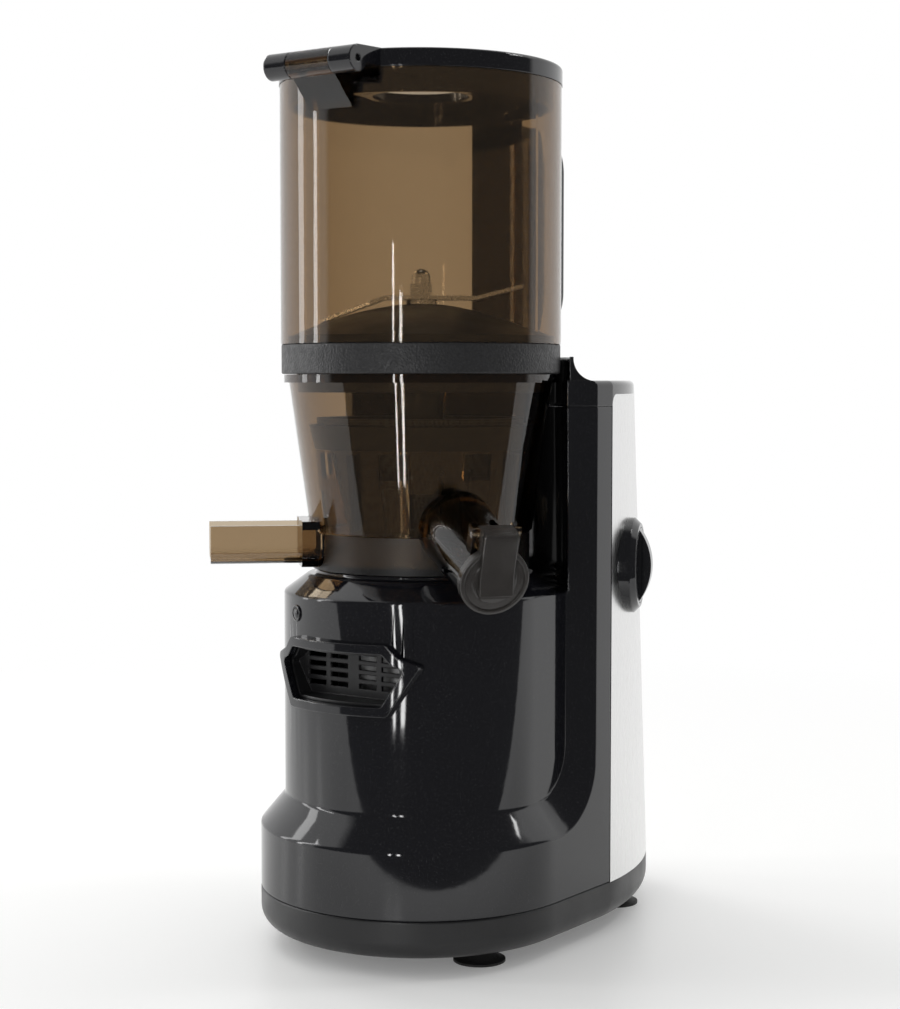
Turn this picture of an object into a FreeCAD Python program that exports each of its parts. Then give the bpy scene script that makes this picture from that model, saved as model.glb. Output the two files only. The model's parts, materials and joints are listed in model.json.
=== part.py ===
import FreeCAD, Part
import math
import os

V = FreeCAD.Vector
UP = V(0, 0, 1)

# Driving dimensions in millimetres and degrees. Pieces are drawn round the bowl's axis, X = Y = 0,
# with the front at -Y and the feet on Z = 0. Azimuths run from the front towards +X.

# where the bowl's axis stands from the middle of the footprint
AXIS_X = -6.0
AXIS_Y = -38.7

# clearances and walls
LIFT_GAP = 0.3        # between pieces that lift or swing apart
RUN_GAP = 0.05        # radial, shafts in their bores
SHELL = 3.0           # moulded housing walls
CLEAR_WALL = 3.0      # clear bowl and hopper walls

# bowl
BOWL_FOOT_R = 55.6
BOWL_CONE_R = 57.0
BOWL_TOP_R = 67.4
BOWL_BAND_H = 18.3
BOWL_STEP_H = 1.2
BOWL_CONE_H = 74.8
FLANGE_H = 4.0
FLANGE_LIP = 2.6
SLEEVE_R = 12.0
SLEEVE_BORE_R = 9.4
SLEEVE_H = 5.3

# hopper, collar and lid
COLLAR_LIP = 1.2
COLLAR_H = 15.0
COLLAR_SPIGOT_H = 9.0
HOPPER_LIP = 0.3
HOPPER_H = 129.7
LID_LIP = 0.4
LID_H = 8.7
LID_SHEET = 3.0
LID_HOLE_R = 24.4
LID_HOLE_H = 5.0
LID_SKIRT_H = 11.5
LID_SKIRT_GAP = 1.0
LID_RIM_W = 7.0

# motor base
FOOT_R = 13.0
FOOT_H = 8.0
FOOT_NECK_R = 7.0
FOOT_STEM_R = 4.0
FOOT_PLACES = [(53, -23), (-53, -23), (50, 110), (-50, 110)]
PLATE_H = 20.0
PLATE_ROUND = 10.0
SKIRT_H = 33.0
WAIST_H = 15.0
WAIST_IN = 12.6
COLUMN_H = 104.0
SHOULDER_H = 9.0
SHOULDER_IN = 12.4
SEAT_H = 2.4
SEAT_IN = 4.0
TOWER_GAP = 4.8       # hollow of the tower outside the collar
TOWER_LIP = 5.6       # hollow of the tower outside the column
TOWER_DROP = 3.0      # top of the tower under the bowl's rim
CHAMFER_RUN = 8.5     # front chamfer of the tower, along Y
CORNER_IN_R = 26.0    # inner corner where the waist turns up the tower
CORNER_OUT_R = 35.0
CREASE_Y = 52.0       # where the straight sides end
BACK_TURN = 35.0      # slope where the side arcs meet the round back
BASE_SLOPE = 3.0
BASE_SIDE_R = 165.0
TOP_SLOPE = 12.0
TOP_SIDE_R = 202.0
PANEL_T = 1.2
PANEL_CORNER_R = 6.0
CAP_H = 13.0
CAP_BAND = 7.0        # height of the cap above the rear panel
CAP_ROUND = 3.0
CRADLE_H = 12.0
CRADLE_FLARE = 11.0
CRADLE_ARC = 120.0

# vent on the front of the column
VENT_TOP_W = 30.0
VENT_NOTCH_W = 35.0
VENT_WIDE_W = 44.6
VENT_LOW_W = 30.0
VENT_H = 35.0
VENT_NOTCH_H = 6.0
VENT_WIDE_H = 10.0
VENT_UNDER_SHOULDER = 20.0
VENT_BAR = 4.5
VENT_PROUD = 4.5
VENT_ROUND = 2.5
TUB_DEPTH = 16.0
TUB_WALL = 1.5
SLOT_W = 11.0
SLOT_H = 2.4
SLOT_PITCH = 4.7
SLOT_ROWS = 4
SLOT_COLUMNS = [-23.0, -9.0, 9.0, 23.0]

# selector
KNOB_Y = 82.0
KNOB_X = 72.5
KNOB_UNDER_TOP = 97.0
KNOB_AZIMUTH = 114.0
BEZEL_R = 25.0
BEZEL_T = 8.5
BEZEL_BEVEL = 3.0
BEZEL_RIM = 4.0
KNOB_T = 2.4
KNOB_GAP = 0.4
GRIP_W = 9.0
GRIP_H = 6.0
KNOB_SHAFT_R = 4.0
KNOB_SHAFT_L = 20.0
SWITCH_W = 22.0
SWITCH_T = 8.0
SWITCH_NECK_L = 13.6
SWITCH_NECK_R = 7.0

# motor and reduction gear
MODULE = 1.5
PRESSURE = 25.0
ADDENDUM = 0.8
ROOT_GAP = 0.2
TOOTH_THIN = 0.12
SUN_TEETH = 12
PLANET_TEETH = 18
PLANETS = 3
GEAR_FACE = 11.0
DECK_T = 4.0
COVER_H = 26.0
RING_H = 28.0
RING_WALL = 5.5
RING_FLOOR = 3.0
CARRIER_T = 5.0
PLANET_PIN_R = 3.0
SHAFT_R = 8.0
HEX_FLATS = 12.0
HEX_L = 30.0
BEARING_R = 16.0
BEARING_T = 9.0
SEAL_R = 13.0
MOTOR_R = 40.0
MOTOR_H = 74.0
CAN_T = 2.5
ROTOR_R = 25.0
ROTOR_H = 54.0
AIR_GAP = 1.0
STATOR_H = 46.0
ROTOR_SHAFT_R = 5.0
FAN_R = 34.0
FAN_H = 8.0
FAN_BLADES = 9
SMALL_BEARING_R = 9.0

# drive inside the bowl
AUGER_TEETH = 18
IDLER_TEETH = 22
IDLER_PIN_R = 3.0
IDLER_AZIMUTH = 180.0
BOWL_GEAR_FACE = 7.4
BRUSH_WALL = 3.0
POST_R = 4.0
POST_RING_R = 30.0
POST_AZIMUTHS = [60.0, 300.0, 0.0]

# strainer, brush and auger
STRAINER_FOOT_R = 36.0
STRAINER_TOP_R = 50.0
STRAINER_H = 58.0
STRAINER_WALL = 2.0
STRAINER_LIP = 3.5
STRAINER_LIP_H = 3.0
STRAINER_HOLE_R = 24.0
STRAINER_SLOTS = 18
STRAINER_SLOT_W = 2.2
BRUSH_GAP = 5.0
BRUSH_SHEET = 2.5
BRUSH_BAND_H = 12.0
BRUSH_WINDOWS = 8
BRUSH_WINDOW_W = 15.0
BRUSH_WINDOW_H = 13.0
BRUSH_OPENINGS = 4
BRUSH_OPENING_W = 26.0
BRUSH_OPENING_H = 22.0
WIPERS = 4
WIPER_T = 2.5
WIPER_GAP = 0.8
AUGER_CORE_FOOT_R = 21.0
AUGER_CORE_TOP_R = 11.5
AUGER_FLIGHT_T = 5.0
AUGER_PITCH = 30.0
AUGER_GAP = 0.8
AUGER_NECK_H = 34.0
SQUARE = 8.0
SQUARE_L = 14.0

# hopper floor and blade
FLOOR_RISE = 20.0
FLOOR_SHEET = 3.0
FLOOR_RIM_H = 4.0
BOSS_R = 13.0
BOSS_DROP = 20.0
BUSH_R = 7.0
SPINDLE_R = 5.0
DROP_AZIMUTH = 150.0
DROP_ARC = 95.0
DROP_INNER_R = 18.0
DROP_OUTER_R = 60.0
BLADE_R = 52.0
BLADE_T = 2.0
BLADE_W = 20.0
BLADE_LIFT = 2.6
BLADE_FLOOR_GAP = 0.4  # tip of the lower arm above the hopper floor
PADDLE_H = 6.0
BLADE_AZIMUTH = 126.0
NUT_FLATS = 10.3
NUT_H = 14.0
STUD_R = 3.0
STUD_L = 8.0

# spout and cap
SPOUT_AZIMUTH = 55.0
SPOUT_SLOPE = 21.0
SPOUT_REACH = 105.0
SPOUT_RISE = 3.7      # end centre above the bowl's foot
SPOUT_R = 16.0
SPOUT_ROOT_R = 19.5
SPOUT_L = 60.0
SPOUT_BORE_R = 13.0
CAP_T = 3.7
CAP_R = 17.0
CAP_BARREL_R = 4.0
CAP_BARREL_W = 17.0
CAP_PIN_R = 1.5
CAP_PIN_UP = 21.0
CAP_PIN_BACK = 3.5
CAP_EAR_W = 3.0
CAP_EAR_DROP = 9.0    # ears reach this far under the pin
TONGUE_W = 16.0
TONGUE_T = 2.5
TONGUE_DROP = 4.0
SEAL_T = 3.0
SEAL_GAP = 0.5

# pulp chute
CHUTE_AZIMUTH = -46.0
CHUTE_REACH = 108.0
CHUTE_W = 38.0
CHUTE_H = 19.5
CHUTE_RISE = 3.3      # underside above the bowl's foot
CHUTE_WALL = 2.5
CHUTE_ROUND = 8.0
CHUTE_ROOT_T = 7.0
CHUTE_ROOT_LIP = 2.0
CHUTE_SUNK = 18.0     # the trough is drawn this far inside the bowl's foot and cut by it

# lid hinge
HINGE_OUT = 12.5      # axis outside the hopper wall
HINGE_UP = 2.0        # axis above the hopper's top edge
BARREL_R = 6.4
BARREL_W = 53.0
KNUCKLE_W = 26.0
HINGE_PIN_R = 1.6
BRACKET_H = 18.0

# handle
HANDLE_W = 24.0
HANDLE_REACH = 46.5   # outside of the grip from the hopper wall
HANDLE_GRIP = 14.0
HANDLE_ARM = 12.0
HANDLE_FOOT_UP = 7.6
HANDLE_H = 111.0
HANDLE_ROUND = 9.0
HANDLE_PAD_W = 34.0
HANDLE_PAD_T = 2.5

# cord bush at the back
GLAND_R = 6.0
GLAND_FLANGE_R = 8.0
GLAND_FLANGE_T = 2.0
GLAND_BORE_R = 3.6
GLAND_L = 12.0
GLAND_UP = 16.0       # above the skirt's lower seam

# bottom screws
SCREW_R = 2.0
SCREW_HEAD_R = 3.5
SCREW_HEAD_H = 2.5
SCREW_L = 26.0
POST_INSET = 9.0
SCREW_POST_R = 7.0
SCREW_POST_H = 24.0
FRONT_POST_Y = 20.0

# Levels, from the floor up.
PLATE_TOP = FOOT_H + PLATE_H
WAIST_LOW = PLATE_TOP + SKIRT_H
WAIST_TOP = WAIST_LOW + WAIST_H
SHOULDER_LOW = WAIST_TOP + COLUMN_H
DECK = SHOULDER_LOW + SHOULDER_H
SEAT = DECK + SEAT_H
BOWL_FOOT = SEAT + LIFT_GAP
BOWL_BAND = BOWL_FOOT + BOWL_BAND_H
BOWL_CONE = BOWL_BAND + BOWL_STEP_H
FLANGE = BOWL_CONE + BOWL_CONE_H
BOWL_TOP = FLANGE + FLANGE_H
COLLAR = BOWL_TOP + LIFT_GAP
COLLAR_TOP = COLLAR + COLLAR_H
HOPPER_TOP = COLLAR_TOP + HOPPER_H
LID_LOW = HOPPER_TOP + LIFT_GAP
LID_TOP = LID_LOW + LID_H
TOWER_TOP = BOWL_TOP - TOWER_DROP
CAP_SEAM = TOWER_TOP - CAP_H
PANEL_TOP = TOWER_TOP - CAP_BAND

# Radii, from the bowl outwards.
FLANGE_R = BOWL_TOP_R + FLANGE_LIP
COLLAR_R = FLANGE_R + COLLAR_LIP
HOPPER_R = COLLAR_R + HOPPER_LIP
HOPPER_IN_R = HOPPER_R - CLEAR_WALL
LID_R = HOPPER_R + LID_LIP
TOWER_R = COLLAR_R + TOWER_GAP
COLUMN_R = TOWER_R - TOWER_LIP
HOUSING_R = COLUMN_R + WAIST_IN
TOWER_EDGE_Y = math.sqrt(TOWER_R ** 2 - COLUMN_R ** 2)

# Levels of the drive.
GEARBOX_TOP = SHOULDER_LOW - DECK_T
RING_TOP = GEARBOX_TOP - COVER_H
RING_LOW = RING_TOP - RING_H
GEAR_LOW = RING_LOW + RING_FLOOR + 2.0
GEAR_TOP = GEAR_LOW + GEAR_FACE
CARRIER_LOW = GEAR_TOP + 1.0
MOTOR_TOP = RING_LOW
MOTOR_LOW = MOTOR_TOP - MOTOR_H
RING_TEETH = SUN_TEETH + 2 * PLANET_TEETH
PLANET_RING_R = MODULE * (SUN_TEETH + PLANET_TEETH) / 2
RING_GEAR_R = MODULE * RING_TEETH / 2
RING_OUT_R = RING_GEAR_R + MODULE * (ADDENDUM + ROOT_GAP) + RING_WALL

# Levels inside the bowl.
BOWL_FLOOR = BOWL_FOOT + CLEAR_WALL
SLEEVE_TOP = BOWL_FOOT + SLEEVE_H
GASKET_TOP = SLEEVE_TOP + 1.0
BOWL_GEAR_LOW = GASKET_TOP + LIFT_GAP
BOWL_GEAR_TOP = BOWL_GEAR_LOW + BOWL_GEAR_FACE
STRAINER_LOW = BOWL_GEAR_TOP + 1.5
STRAINER_TOP = STRAINER_LOW + STRAINER_H
IDLER_RING_R = MODULE * (AUGER_TEETH + IDLER_TEETH) / 2
BRUSH_TEETH = AUGER_TEETH + 2 * IDLER_TEETH
BRUSH_GEAR_R = MODULE * BRUSH_TEETH / 2
BRUSH_FOOT_R = BRUSH_GEAR_R + MODULE * (ADDENDUM + ROOT_GAP) + BRUSH_WALL
HEX_LOW = SLEEVE_TOP
HEX_TOP = HEX_LOW + HEX_L
AUGER_CONE_TOP = STRAINER_TOP
AUGER_TOP = AUGER_CONE_TOP + AUGER_NECK_H
FLOOR_LOW = COLLAR_TOP
BOSS_TOP = FLOOR_LOW + FLOOR_RISE
BLADE_LOW = BOSS_TOP + BLADE_LIFT
HINGE_Y = -(HOPPER_R + HINGE_OUT)
HINGE_Z = HOPPER_TOP + HINGE_UP

FAR = 700.0


def disc(radius, low, high, x=0.0, y=0.0):
    return Part.makeCylinder(radius, high - low, V(x, y, low))


def tube(outer, inner, low, high, x=0.0, y=0.0):
    return disc(outer, low, high, x, y).cut(disc(inner, low, high, x, y))


def block(x0, x1, y0, y1, z0, z1):
    return Part.makeBox(x1 - x0, y1 - y0, z1 - z0, V(x0, y0, z0))


def closed_wire(points):
    """A closed wire of lines; a pair in a list is an arc through its first point to its second."""
    edges = []
    last = points[0]
    for item in points[1:] + [points[0]]:
        if isinstance(item, list):
            edges.append(Part.Arc(last, item[0], item[1]).toShape())
            last = item[1]
        elif (item - last).Length > 1e-6:
            edges.append(Part.LineSegment(last, item).toShape())
            last = item
    return Part.Wire(edges)


def turned(profile, angle=360.0):
    """A solid of revolution about Z from (radius, height) points and [through, to] arcs."""
    points = []
    for item in profile:
        if isinstance(item, list):
            points.append([V(p[0], 0, p[1]) for p in item])
        else:
            points.append(V(item[0], 0, item[1]))
    return Part.Face(closed_wire(points)).revolve(V(0, 0, 0), UP, angle)


def fused(first, *others):
    return first.fuse(list(others)).removeSplitter()


def heading(azimuth):
    turn = math.radians(azimuth)
    return V(math.sin(turn), -math.cos(turn), 0)


def local_frame(origin, out, side):
    """A placement whose x runs out, y runs to the side and z is square to both."""
    up = out.cross(side)
    turn = FreeCAD.Rotation(out, side, up, "ZXY")
    return FreeCAD.Placement(origin, turn)


def placed(shape, frame):
    moved = shape.copy()
    moved.Placement = frame.multiply(moved.Placement)
    return moved


def spun(shape, angle, centre=V(0, 0, 0)):
    moved = shape.copy()
    moved.rotate(centre, UP, angle)
    return moved


def mirrored(shape):
    return shape.mirror(V(0, 0, 0), V(1, 0, 0))


def hexagon(flats, low, high):
    radius = flats / math.sqrt(3)
    corners = [V(radius * math.cos(math.radians(a)), radius * math.sin(math.radians(a)), low)
               for a in range(0, 360, 60)]
    return Part.Face(closed_wire(corners)).extrude(UP * (high - low))


def gear(teeth, low, high, extra_tip=0.0, extra_root=ROOT_GAP, thin=TOOTH_THIN, phase=0.0):
    """A spur gear with involute flanks; a tooth stands at the phase angle."""
    pitch_r = MODULE * teeth / 2
    base_r = pitch_r * math.cos(math.radians(PRESSURE))
    tip_r = pitch_r + MODULE * (ADDENDUM + extra_tip)
    root_r = pitch_r - MODULE * (ADDENDUM + extra_root)

    def involute(radius):
        lean = math.acos(min(1.0, base_r / radius))
        return math.tan(lean) - lean

    half = math.pi / (2 * teeth) - thin / (2 * pitch_r)
    radii = [root_r, max(root_r, base_r) + 0.02, pitch_r, tip_r]
    flank = [(r, half + involute(pitch_r) - involute(r)) for r in radii]
    points = []
    for tooth in range(teeth):
        centre = math.radians(phase) + tooth * 2 * math.pi / teeth
        for r, lean in flank:
            points.append(V(r * math.cos(centre - lean), r * math.sin(centre - lean), low))
        for r, lean in reversed(flank):
            points.append(V(r * math.cos(centre + lean), r * math.sin(centre + lean), low))
    return Part.Face(closed_wire(points)).extrude(UP * (high - low))


def inner_gear(teeth, low, high, wheel_teeth, wheel_angle):
    """The space inside a ring gear, in mesh with a wheel whose gap faces the middle of the ring."""
    half_pitch = 180.0 / teeth
    phase = wheel_angle + (half_pitch if wheel_teeth % 2 == 0 else 0.0)
    return gear(teeth, low, high, extra_tip=ROOT_GAP, extra_root=0.0, thin=-TOOTH_THIN, phase=phase)


def wheel_between(teeth, low, high, ring_r, angle, pin_r):
    """A wheel between a middle gear and a ring, with a gap facing the middle gear's tooth."""
    body = gear(teeth, low, high, phase=180.0 + 180.0 / teeth).cut(disc(pin_r + RUN_GAP, low, high))
    body.translate(V(ring_r, 0, 0))
    return spun(body, angle)


# Moulded base

def side_arc(slope, radius, inset):
    """Centre of a side arc, its start slope and radius, and the round back's centre and radius."""
    lean = math.radians(slope)
    turn = math.radians(BACK_TURN)
    centre = V(HOUSING_R - radius * math.cos(lean), CREASE_Y - radius * math.sin(lean), 0)
    meet_x = centre.x + radius * math.cos(turn)
    meet_y = centre.y + radius * math.sin(turn)
    back_r = meet_x / math.cos(turn)
    back_y = meet_y - back_r * math.sin(turn)
    start = math.acos((HOUSING_R - inset - centre.x) / (radius - inset))
    return centre, start, radius - inset, back_y, back_r - inset


def plan_wire(level, slope, radius, inset=0.0):
    """Egg-shaped plan of the base: half-round front, straight sides, drawn-in arcs, round back."""
    front = HOUSING_R - inset
    centre, start, side_r, back_y, back_r = side_arc(slope, radius, inset)
    turn = math.radians(BACK_TURN)

    def side(angle, sign):
        return V(sign * (centre.x + side_r * math.cos(angle)), centre.y + side_r * math.sin(angle), level)

    def back(angle):
        return V(back_r * math.cos(angle), back_y + back_r * math.sin(angle), level)

    def round_front(angle):
        return V(front * math.cos(math.radians(angle)), front * math.sin(math.radians(angle)), level)

    half = (start + turn) / 2
    quarter = (turn + math.pi / 2) / 2
    return closed_wire([
        V(-front, 0, level),
        [round_front(225), round_front(270)],
        [round_front(315), round_front(0)],
        side(start, 1),
        [side(half, 1), side(turn, 1)],
        [back(quarter), back(math.pi / 2)],
        [back(math.pi - quarter), side(turn, -1)],
        [side(half, -1), side(start, -1)],
    ])


def base_wire(level, inset=0.0):
    return plan_wire(level, BASE_SLOPE, BASE_SIDE_R, inset)


def egg(inset=0.0):
    """The whole base envelope from the lower seam to the tower's top, leaning in at the back."""
    low = base_wire(PLATE_TOP, inset)
    high = plan_wire(TOWER_TOP, TOP_SLOPE, TOP_SIDE_R, inset)
    return Part.makeLoft([low, high], True, True)


def rounded_egg():
    body = egg()
    rim = [e for e in body.Edges if all(abs(v.Z - TOWER_TOP) < 0.01 for v in e.Vertexes)]
    return body.makeFillet(CAP_ROUND, rim)


def waist_cutter():
    """What the waist takes away: a cone round the front and a turned-up chamfer on each side."""
    reach = 2 * WAIST_IN
    share = reach / WAIST_IN
    far_r = COLUMN_R + reach
    far_z = WAIST_TOP - WAIST_H * share
    high = TOWER_TOP + 10
    cone = Part.Face(closed_wire([
        V(COLUMN_R, 0, WAIST_TOP), V(far_r, 0, far_z), V(far_r, 0, high), V(COLUMN_R, 0, high),
    ])).revolve(V(0, 0, 0), UP, -180)

    def side_wire(x, edge_y, low, corner):
        bend = corner * (1 - math.sqrt(0.5))
        return closed_wire([
            V(x, 0, low), V(x, edge_y - corner, low),
            [V(x, edge_y - bend, low + bend), V(x, edge_y, low + corner)],
            V(x, edge_y, high), V(x, 0, high),
        ])

    near = side_wire(COLUMN_R, TOWER_EDGE_Y, WAIST_TOP, CORNER_IN_R)
    far = side_wire(far_r, TOWER_EDGE_Y + CHAMFER_RUN * share, far_z,
                    CORNER_IN_R + (CORNER_OUT_R - CORNER_IN_R) * share)
    side = Part.makeLoft([near, far], True, True)
    return cone, side, mirrored(side)


def bowl_hollow():
    """The space over the shoulder and in front of the tower, with the seat left standing."""
    shoulder_r = COLUMN_R - SHOULDER_IN
    return turned([
        (0, SEAT), (shoulder_r - SEAT_IN, SEAT), (shoulder_r - SEAT_IN, DECK), (shoulder_r, DECK),
        (COLUMN_R, SHOULDER_LOW), (TOWER_R, SHOULDER_LOW), (TOWER_R, FAR), (0, FAR),
    ])


def base_envelope():
    return rounded_egg().cut(list(waist_cutter()) + [bowl_hollow()])


def panel_shape():
    """The sheet round the back, with rounded upper front corners."""
    sheet = egg().cut(egg(PANEL_T))
    window = closed_wire([
        V(-FAR, CREASE_Y, PLATE_TOP), V(-FAR, FAR, PLATE_TOP), V(-FAR, FAR, PANEL_TOP),
        V(-FAR, CREASE_Y + PANEL_CORNER_R, PANEL_TOP),
        [V(-FAR, CREASE_Y + PANEL_CORNER_R * (1 - math.sqrt(0.5)),
           PANEL_TOP - PANEL_CORNER_R * (1 - math.sqrt(0.5))),
         V(-FAR, CREASE_Y, PANEL_TOP - PANEL_CORNER_R)],
    ])
    return sheet.common(Part.Face(window).extrude(V(2 * FAR, 0, 0)))


def rear_panel():
    gland = Part.makeCylinder(GLAND_R, 2 * GLAND_L, gland_place() + V(0, -GLAND_L, 0), V(0, 1, 0))
    return panel_shape().cut([gland, knob_hole()])


def knob_hole():
    return placed(along_x(KNOB_SHAFT_R + 4 * RUN_GAP, -KNOB_SHAFT_L, KNOB_SHAFT_L), knob_frame())


def post_places():
    """Plan places of the four screw posts, two at the sides and two at the back."""
    turn = math.radians(BACK_TURN)
    centre, start, side_r, back_y, back_r = side_arc(BASE_SLOPE, BASE_SIDE_R, POST_INSET)
    side_x = HOUSING_R - POST_INSET
    rear_x = centre.x + side_r * math.cos(turn)
    rear_y = centre.y + side_r * math.sin(turn)
    return [(side_x, FRONT_POST_Y), (-side_x, FRONT_POST_Y), (rear_x, rear_y), (-rear_x, rear_y)]


def vent_faces():
    """Outer and inner outlines of the vent, upright in the plane Y = 0."""
    top = SHOULDER_LOW - VENT_UNDER_SHOULDER
    right = [(VENT_TOP_W, top), (VENT_NOTCH_W, top - VENT_NOTCH_H), (VENT_WIDE_W, top - VENT_WIDE_H),
             (VENT_LOW_W, top - VENT_H)]
    left = [(-x, z) for x, z in reversed(right)]
    outer = Part.Face(closed_wire([V(x, 0, z) for x, z in right + left]))
    return outer, outer.makeOffset2D(-VENT_BAR), outer.makeOffset2D(-VENT_BAR - TUB_WALL)


def vent_prism(face, back=0.0):
    """An outline of the vent run forwards from a depth behind the column's front."""
    body = face.extrude(V(0, -FAR, 0))
    corners = [e for e in body.Edges if abs(e.tangentAt(e.FirstParameter).y) > 0.99]
    body = body.makeFillet(VENT_ROUND, corners)
    body.translate(V(0, -back, 0))
    return body


def knob_frame():
    origin = V(KNOB_X, KNOB_Y, TOWER_TOP - KNOB_UNDER_TOP)
    out = heading(KNOB_AZIMUTH)
    return local_frame(origin, out, V(-out.y, out.x, 0))


def along_x(radius, low, high):
    return Part.makeCylinder(radius, high - low, V(low, 0, 0), V(1, 0, 0))


def gland_place():
    back_y, back_r = side_arc(BASE_SLOPE, BASE_SIDE_R, 0.0)[3:]
    return V(0, back_y + back_r, PLATE_TOP + GLAND_UP)


def housing_cavity():
    """Room inside the column, the skirt and the tower."""
    column = disc(COLUMN_R - SHELL, PLATE_TOP - 1, GEARBOX_TOP)
    slab = block(-FAR, FAR, -FAR, FAR, PLATE_TOP - 1, WAIST_LOW - SHELL)
    inner = egg(SHELL + PANEL_T)
    skirt = inner.common(slab)
    behind = block(-FAR, FAR, TOWER_EDGE_Y + CHAMFER_RUN + SHELL, FAR, PLATE_TOP - 1, CAP_SEAM + 1)
    hollow = disc(TOWER_R + SHELL, GEARBOX_TOP, FAR)
    return [column, skirt, inner.common(behind).cut(hollow)]


def motor_housing():
    body = base_envelope().common(block(-FAR, FAR, -FAR, FAR, 0, CAP_SEAM))
    body = body.cut(housing_cavity())
    posts = [disc(SCREW_POST_R, PLATE_TOP, PLATE_TOP + SCREW_POST_H, x, y) for x, y in post_places()]
    body = body.fuse([p.common(egg(SHELL / 2)) for p in posts])
    holes = [disc(SCREW_R, 0, FOOT_H + SCREW_HEAD_H + SCREW_L, x, y) for x, y in post_places()]
    gland = gland_place()
    holes.append(Part.makeCylinder(GLAND_R, 40, gland + V(0, -30, 0), V(0, 1, 0)))
    holes.append(vent_prism(vent_faces()[1]))
    holes.append(knob_hole())
    holes.append(disc(SEAL_R, GEARBOX_TOP - 1, SEAT + 1))
    holes.append(panel_shape())
    return body.cut(holes).removeSplitter()


def tower_cap():
    body = base_envelope().common(block(-FAR, FAR, -FAR, FAR, CAP_SEAM, FAR))
    room = egg(SHELL + PANEL_T).common(block(-FAR, FAR, TOWER_EDGE_Y + CHAMFER_RUN + SHELL, FAR,
                                             CAP_SEAM - 1, TOWER_TOP - SHELL))
    body = body.cut(room.cut(disc(TOWER_R + SHELL, 0, FAR)))
    cradle = turned([
        (TOWER_R, TOWER_TOP - 1), (TOWER_R + CRADLE_FLARE, TOWER_TOP - 1),
        (TOWER_R + CRADLE_FLARE, TOWER_TOP),
        [(TOWER_R + 0.4 * CRADLE_FLARE, TOWER_TOP + 0.35 * CRADLE_H), (TOWER_R + 2, TOWER_TOP + CRADLE_H)],
        (TOWER_R, TOWER_TOP + CRADLE_H),
    ], CRADLE_ARC)
    cradle = spun(cradle, 90 - CRADLE_ARC / 2)
    return fused(body, cradle).cut(panel_shape())


def base_plate():
    body = Part.Face(base_wire(FOOT_H)).extrude(UP * PLATE_H)
    rim = [e for e in body.Edges if all(abs(v.Z - FOOT_H) < 0.01 for v in e.Vertexes)]
    body = body.makeFillet(PLATE_ROUND, rim)
    room = Part.Face(base_wire(FOOT_H + SHELL, PLATE_ROUND / 2)).extrude(UP * PLATE_H)
    body = body.cut(room)
    posts = [disc(SCREW_POST_R, FOOT_H + SHELL, PLATE_TOP, x, y) for x, y in post_places()]
    body = body.fuse([p.common(Part.Face(base_wire(FOOT_H, SHELL)).extrude(UP * PLATE_H)) for p in posts])
    holes = [disc(SCREW_R, 0, FAR, x, y) for x, y in post_places()]
    holes += [disc(SCREW_HEAD_R, 0, FOOT_H + SCREW_HEAD_H, x, y) for x, y in post_places()]
    holes += [disc(FOOT_STEM_R, 0, FOOT_H + 2 * SHELL, x, y) for x, y in FOOT_PLACES]
    return body.cut(holes)


def suction_feet():
    foot = turned([
        (0, 2.0), [(FOOT_R * 0.45, 1.5), (FOOT_R * 0.78, 0)], (FOOT_R, 0), (FOOT_R, 1.2),
        [(FOOT_R * 0.72, 2.6), (FOOT_NECK_R, FOOT_H - 2)], (FOOT_NECK_R, FOOT_H),
        (FOOT_STEM_R, FOOT_H), (FOOT_STEM_R, FOOT_H + SHELL + 1), (0, FOOT_H + SHELL + 1),
    ])
    feet = []
    for x, y in FOOT_PLACES:
        one = foot.copy()
        one.translate(V(x, y, 0))
        feet.append(one)
    return Part.makeCompound(feet)


def base_screws():
    screws = []
    for x, y in post_places():
        head = disc(SCREW_HEAD_R - 0.2, FOOT_H + 0.5, FOOT_H + SCREW_HEAD_H, x, y)
        slot = block(x - SCREW_HEAD_R, x + SCREW_HEAD_R, y - 0.5, y + 0.5, FOOT_H, FOOT_H + 1.2)
        shank = disc(SCREW_R, FOOT_H + SCREW_HEAD_H, FOOT_H + SCREW_HEAD_H + SCREW_L - 2, x, y)
        screws.append(head.cut(slot).fuse(shank).removeSplitter())
    return Part.makeCompound(screws)


def vent_frame():
    outer, inner, _ = vent_faces()
    ring = vent_prism(outer).cut(vent_prism(inner))
    skin = tube(COLUMN_R + VENT_PROUD, COLUMN_R, 0, FAR)
    return ring.common(skin)


def vent_tub():
    _, outer, inner = vent_faces()
    back = COLUMN_R - TUB_DEPTH
    body = vent_prism(outer, back).common(disc(COLUMN_R, 0, FAR))
    body = body.cut(vent_prism(inner, back + TUB_WALL))
    middle = SHOULDER_LOW - VENT_UNDER_SHOULDER - VENT_H / 2 + 1.0
    slots = []
    for x in SLOT_COLUMNS:
        for row in range(SLOT_ROWS):
            z = middle + (row - (SLOT_ROWS - 1) / 2) * SLOT_PITCH
            slots.append(block(x - SLOT_W / 2, x + SLOT_W / 2, -FAR, 0, z - SLOT_H / 2, z + SLOT_H / 2))
    return body.cut(slots)


def switch_bezel():
    profile = Part.Face(closed_wire([
        V(-6, 0, 0), V(-6, 0, BEZEL_R), V(BEZEL_T - BEZEL_BEVEL, 0, BEZEL_R),
        V(BEZEL_T, 0, BEZEL_R - BEZEL_BEVEL), V(BEZEL_T, 0, BEZEL_R - BEZEL_RIM - 1),
        V(BEZEL_T - KNOB_T - KNOB_GAP, 0, BEZEL_R - BEZEL_RIM - 1), V(BEZEL_T - KNOB_T - KNOB_GAP, 0, 0),
    ]))
    body = profile.revolve(V(0, 0, 0), V(1, 0, 0), 360)
    body = body.cut(along_x(KNOB_SHAFT_R + 4 * RUN_GAP, -30, 30))
    return placed(body, knob_frame()).cut(egg())


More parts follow.
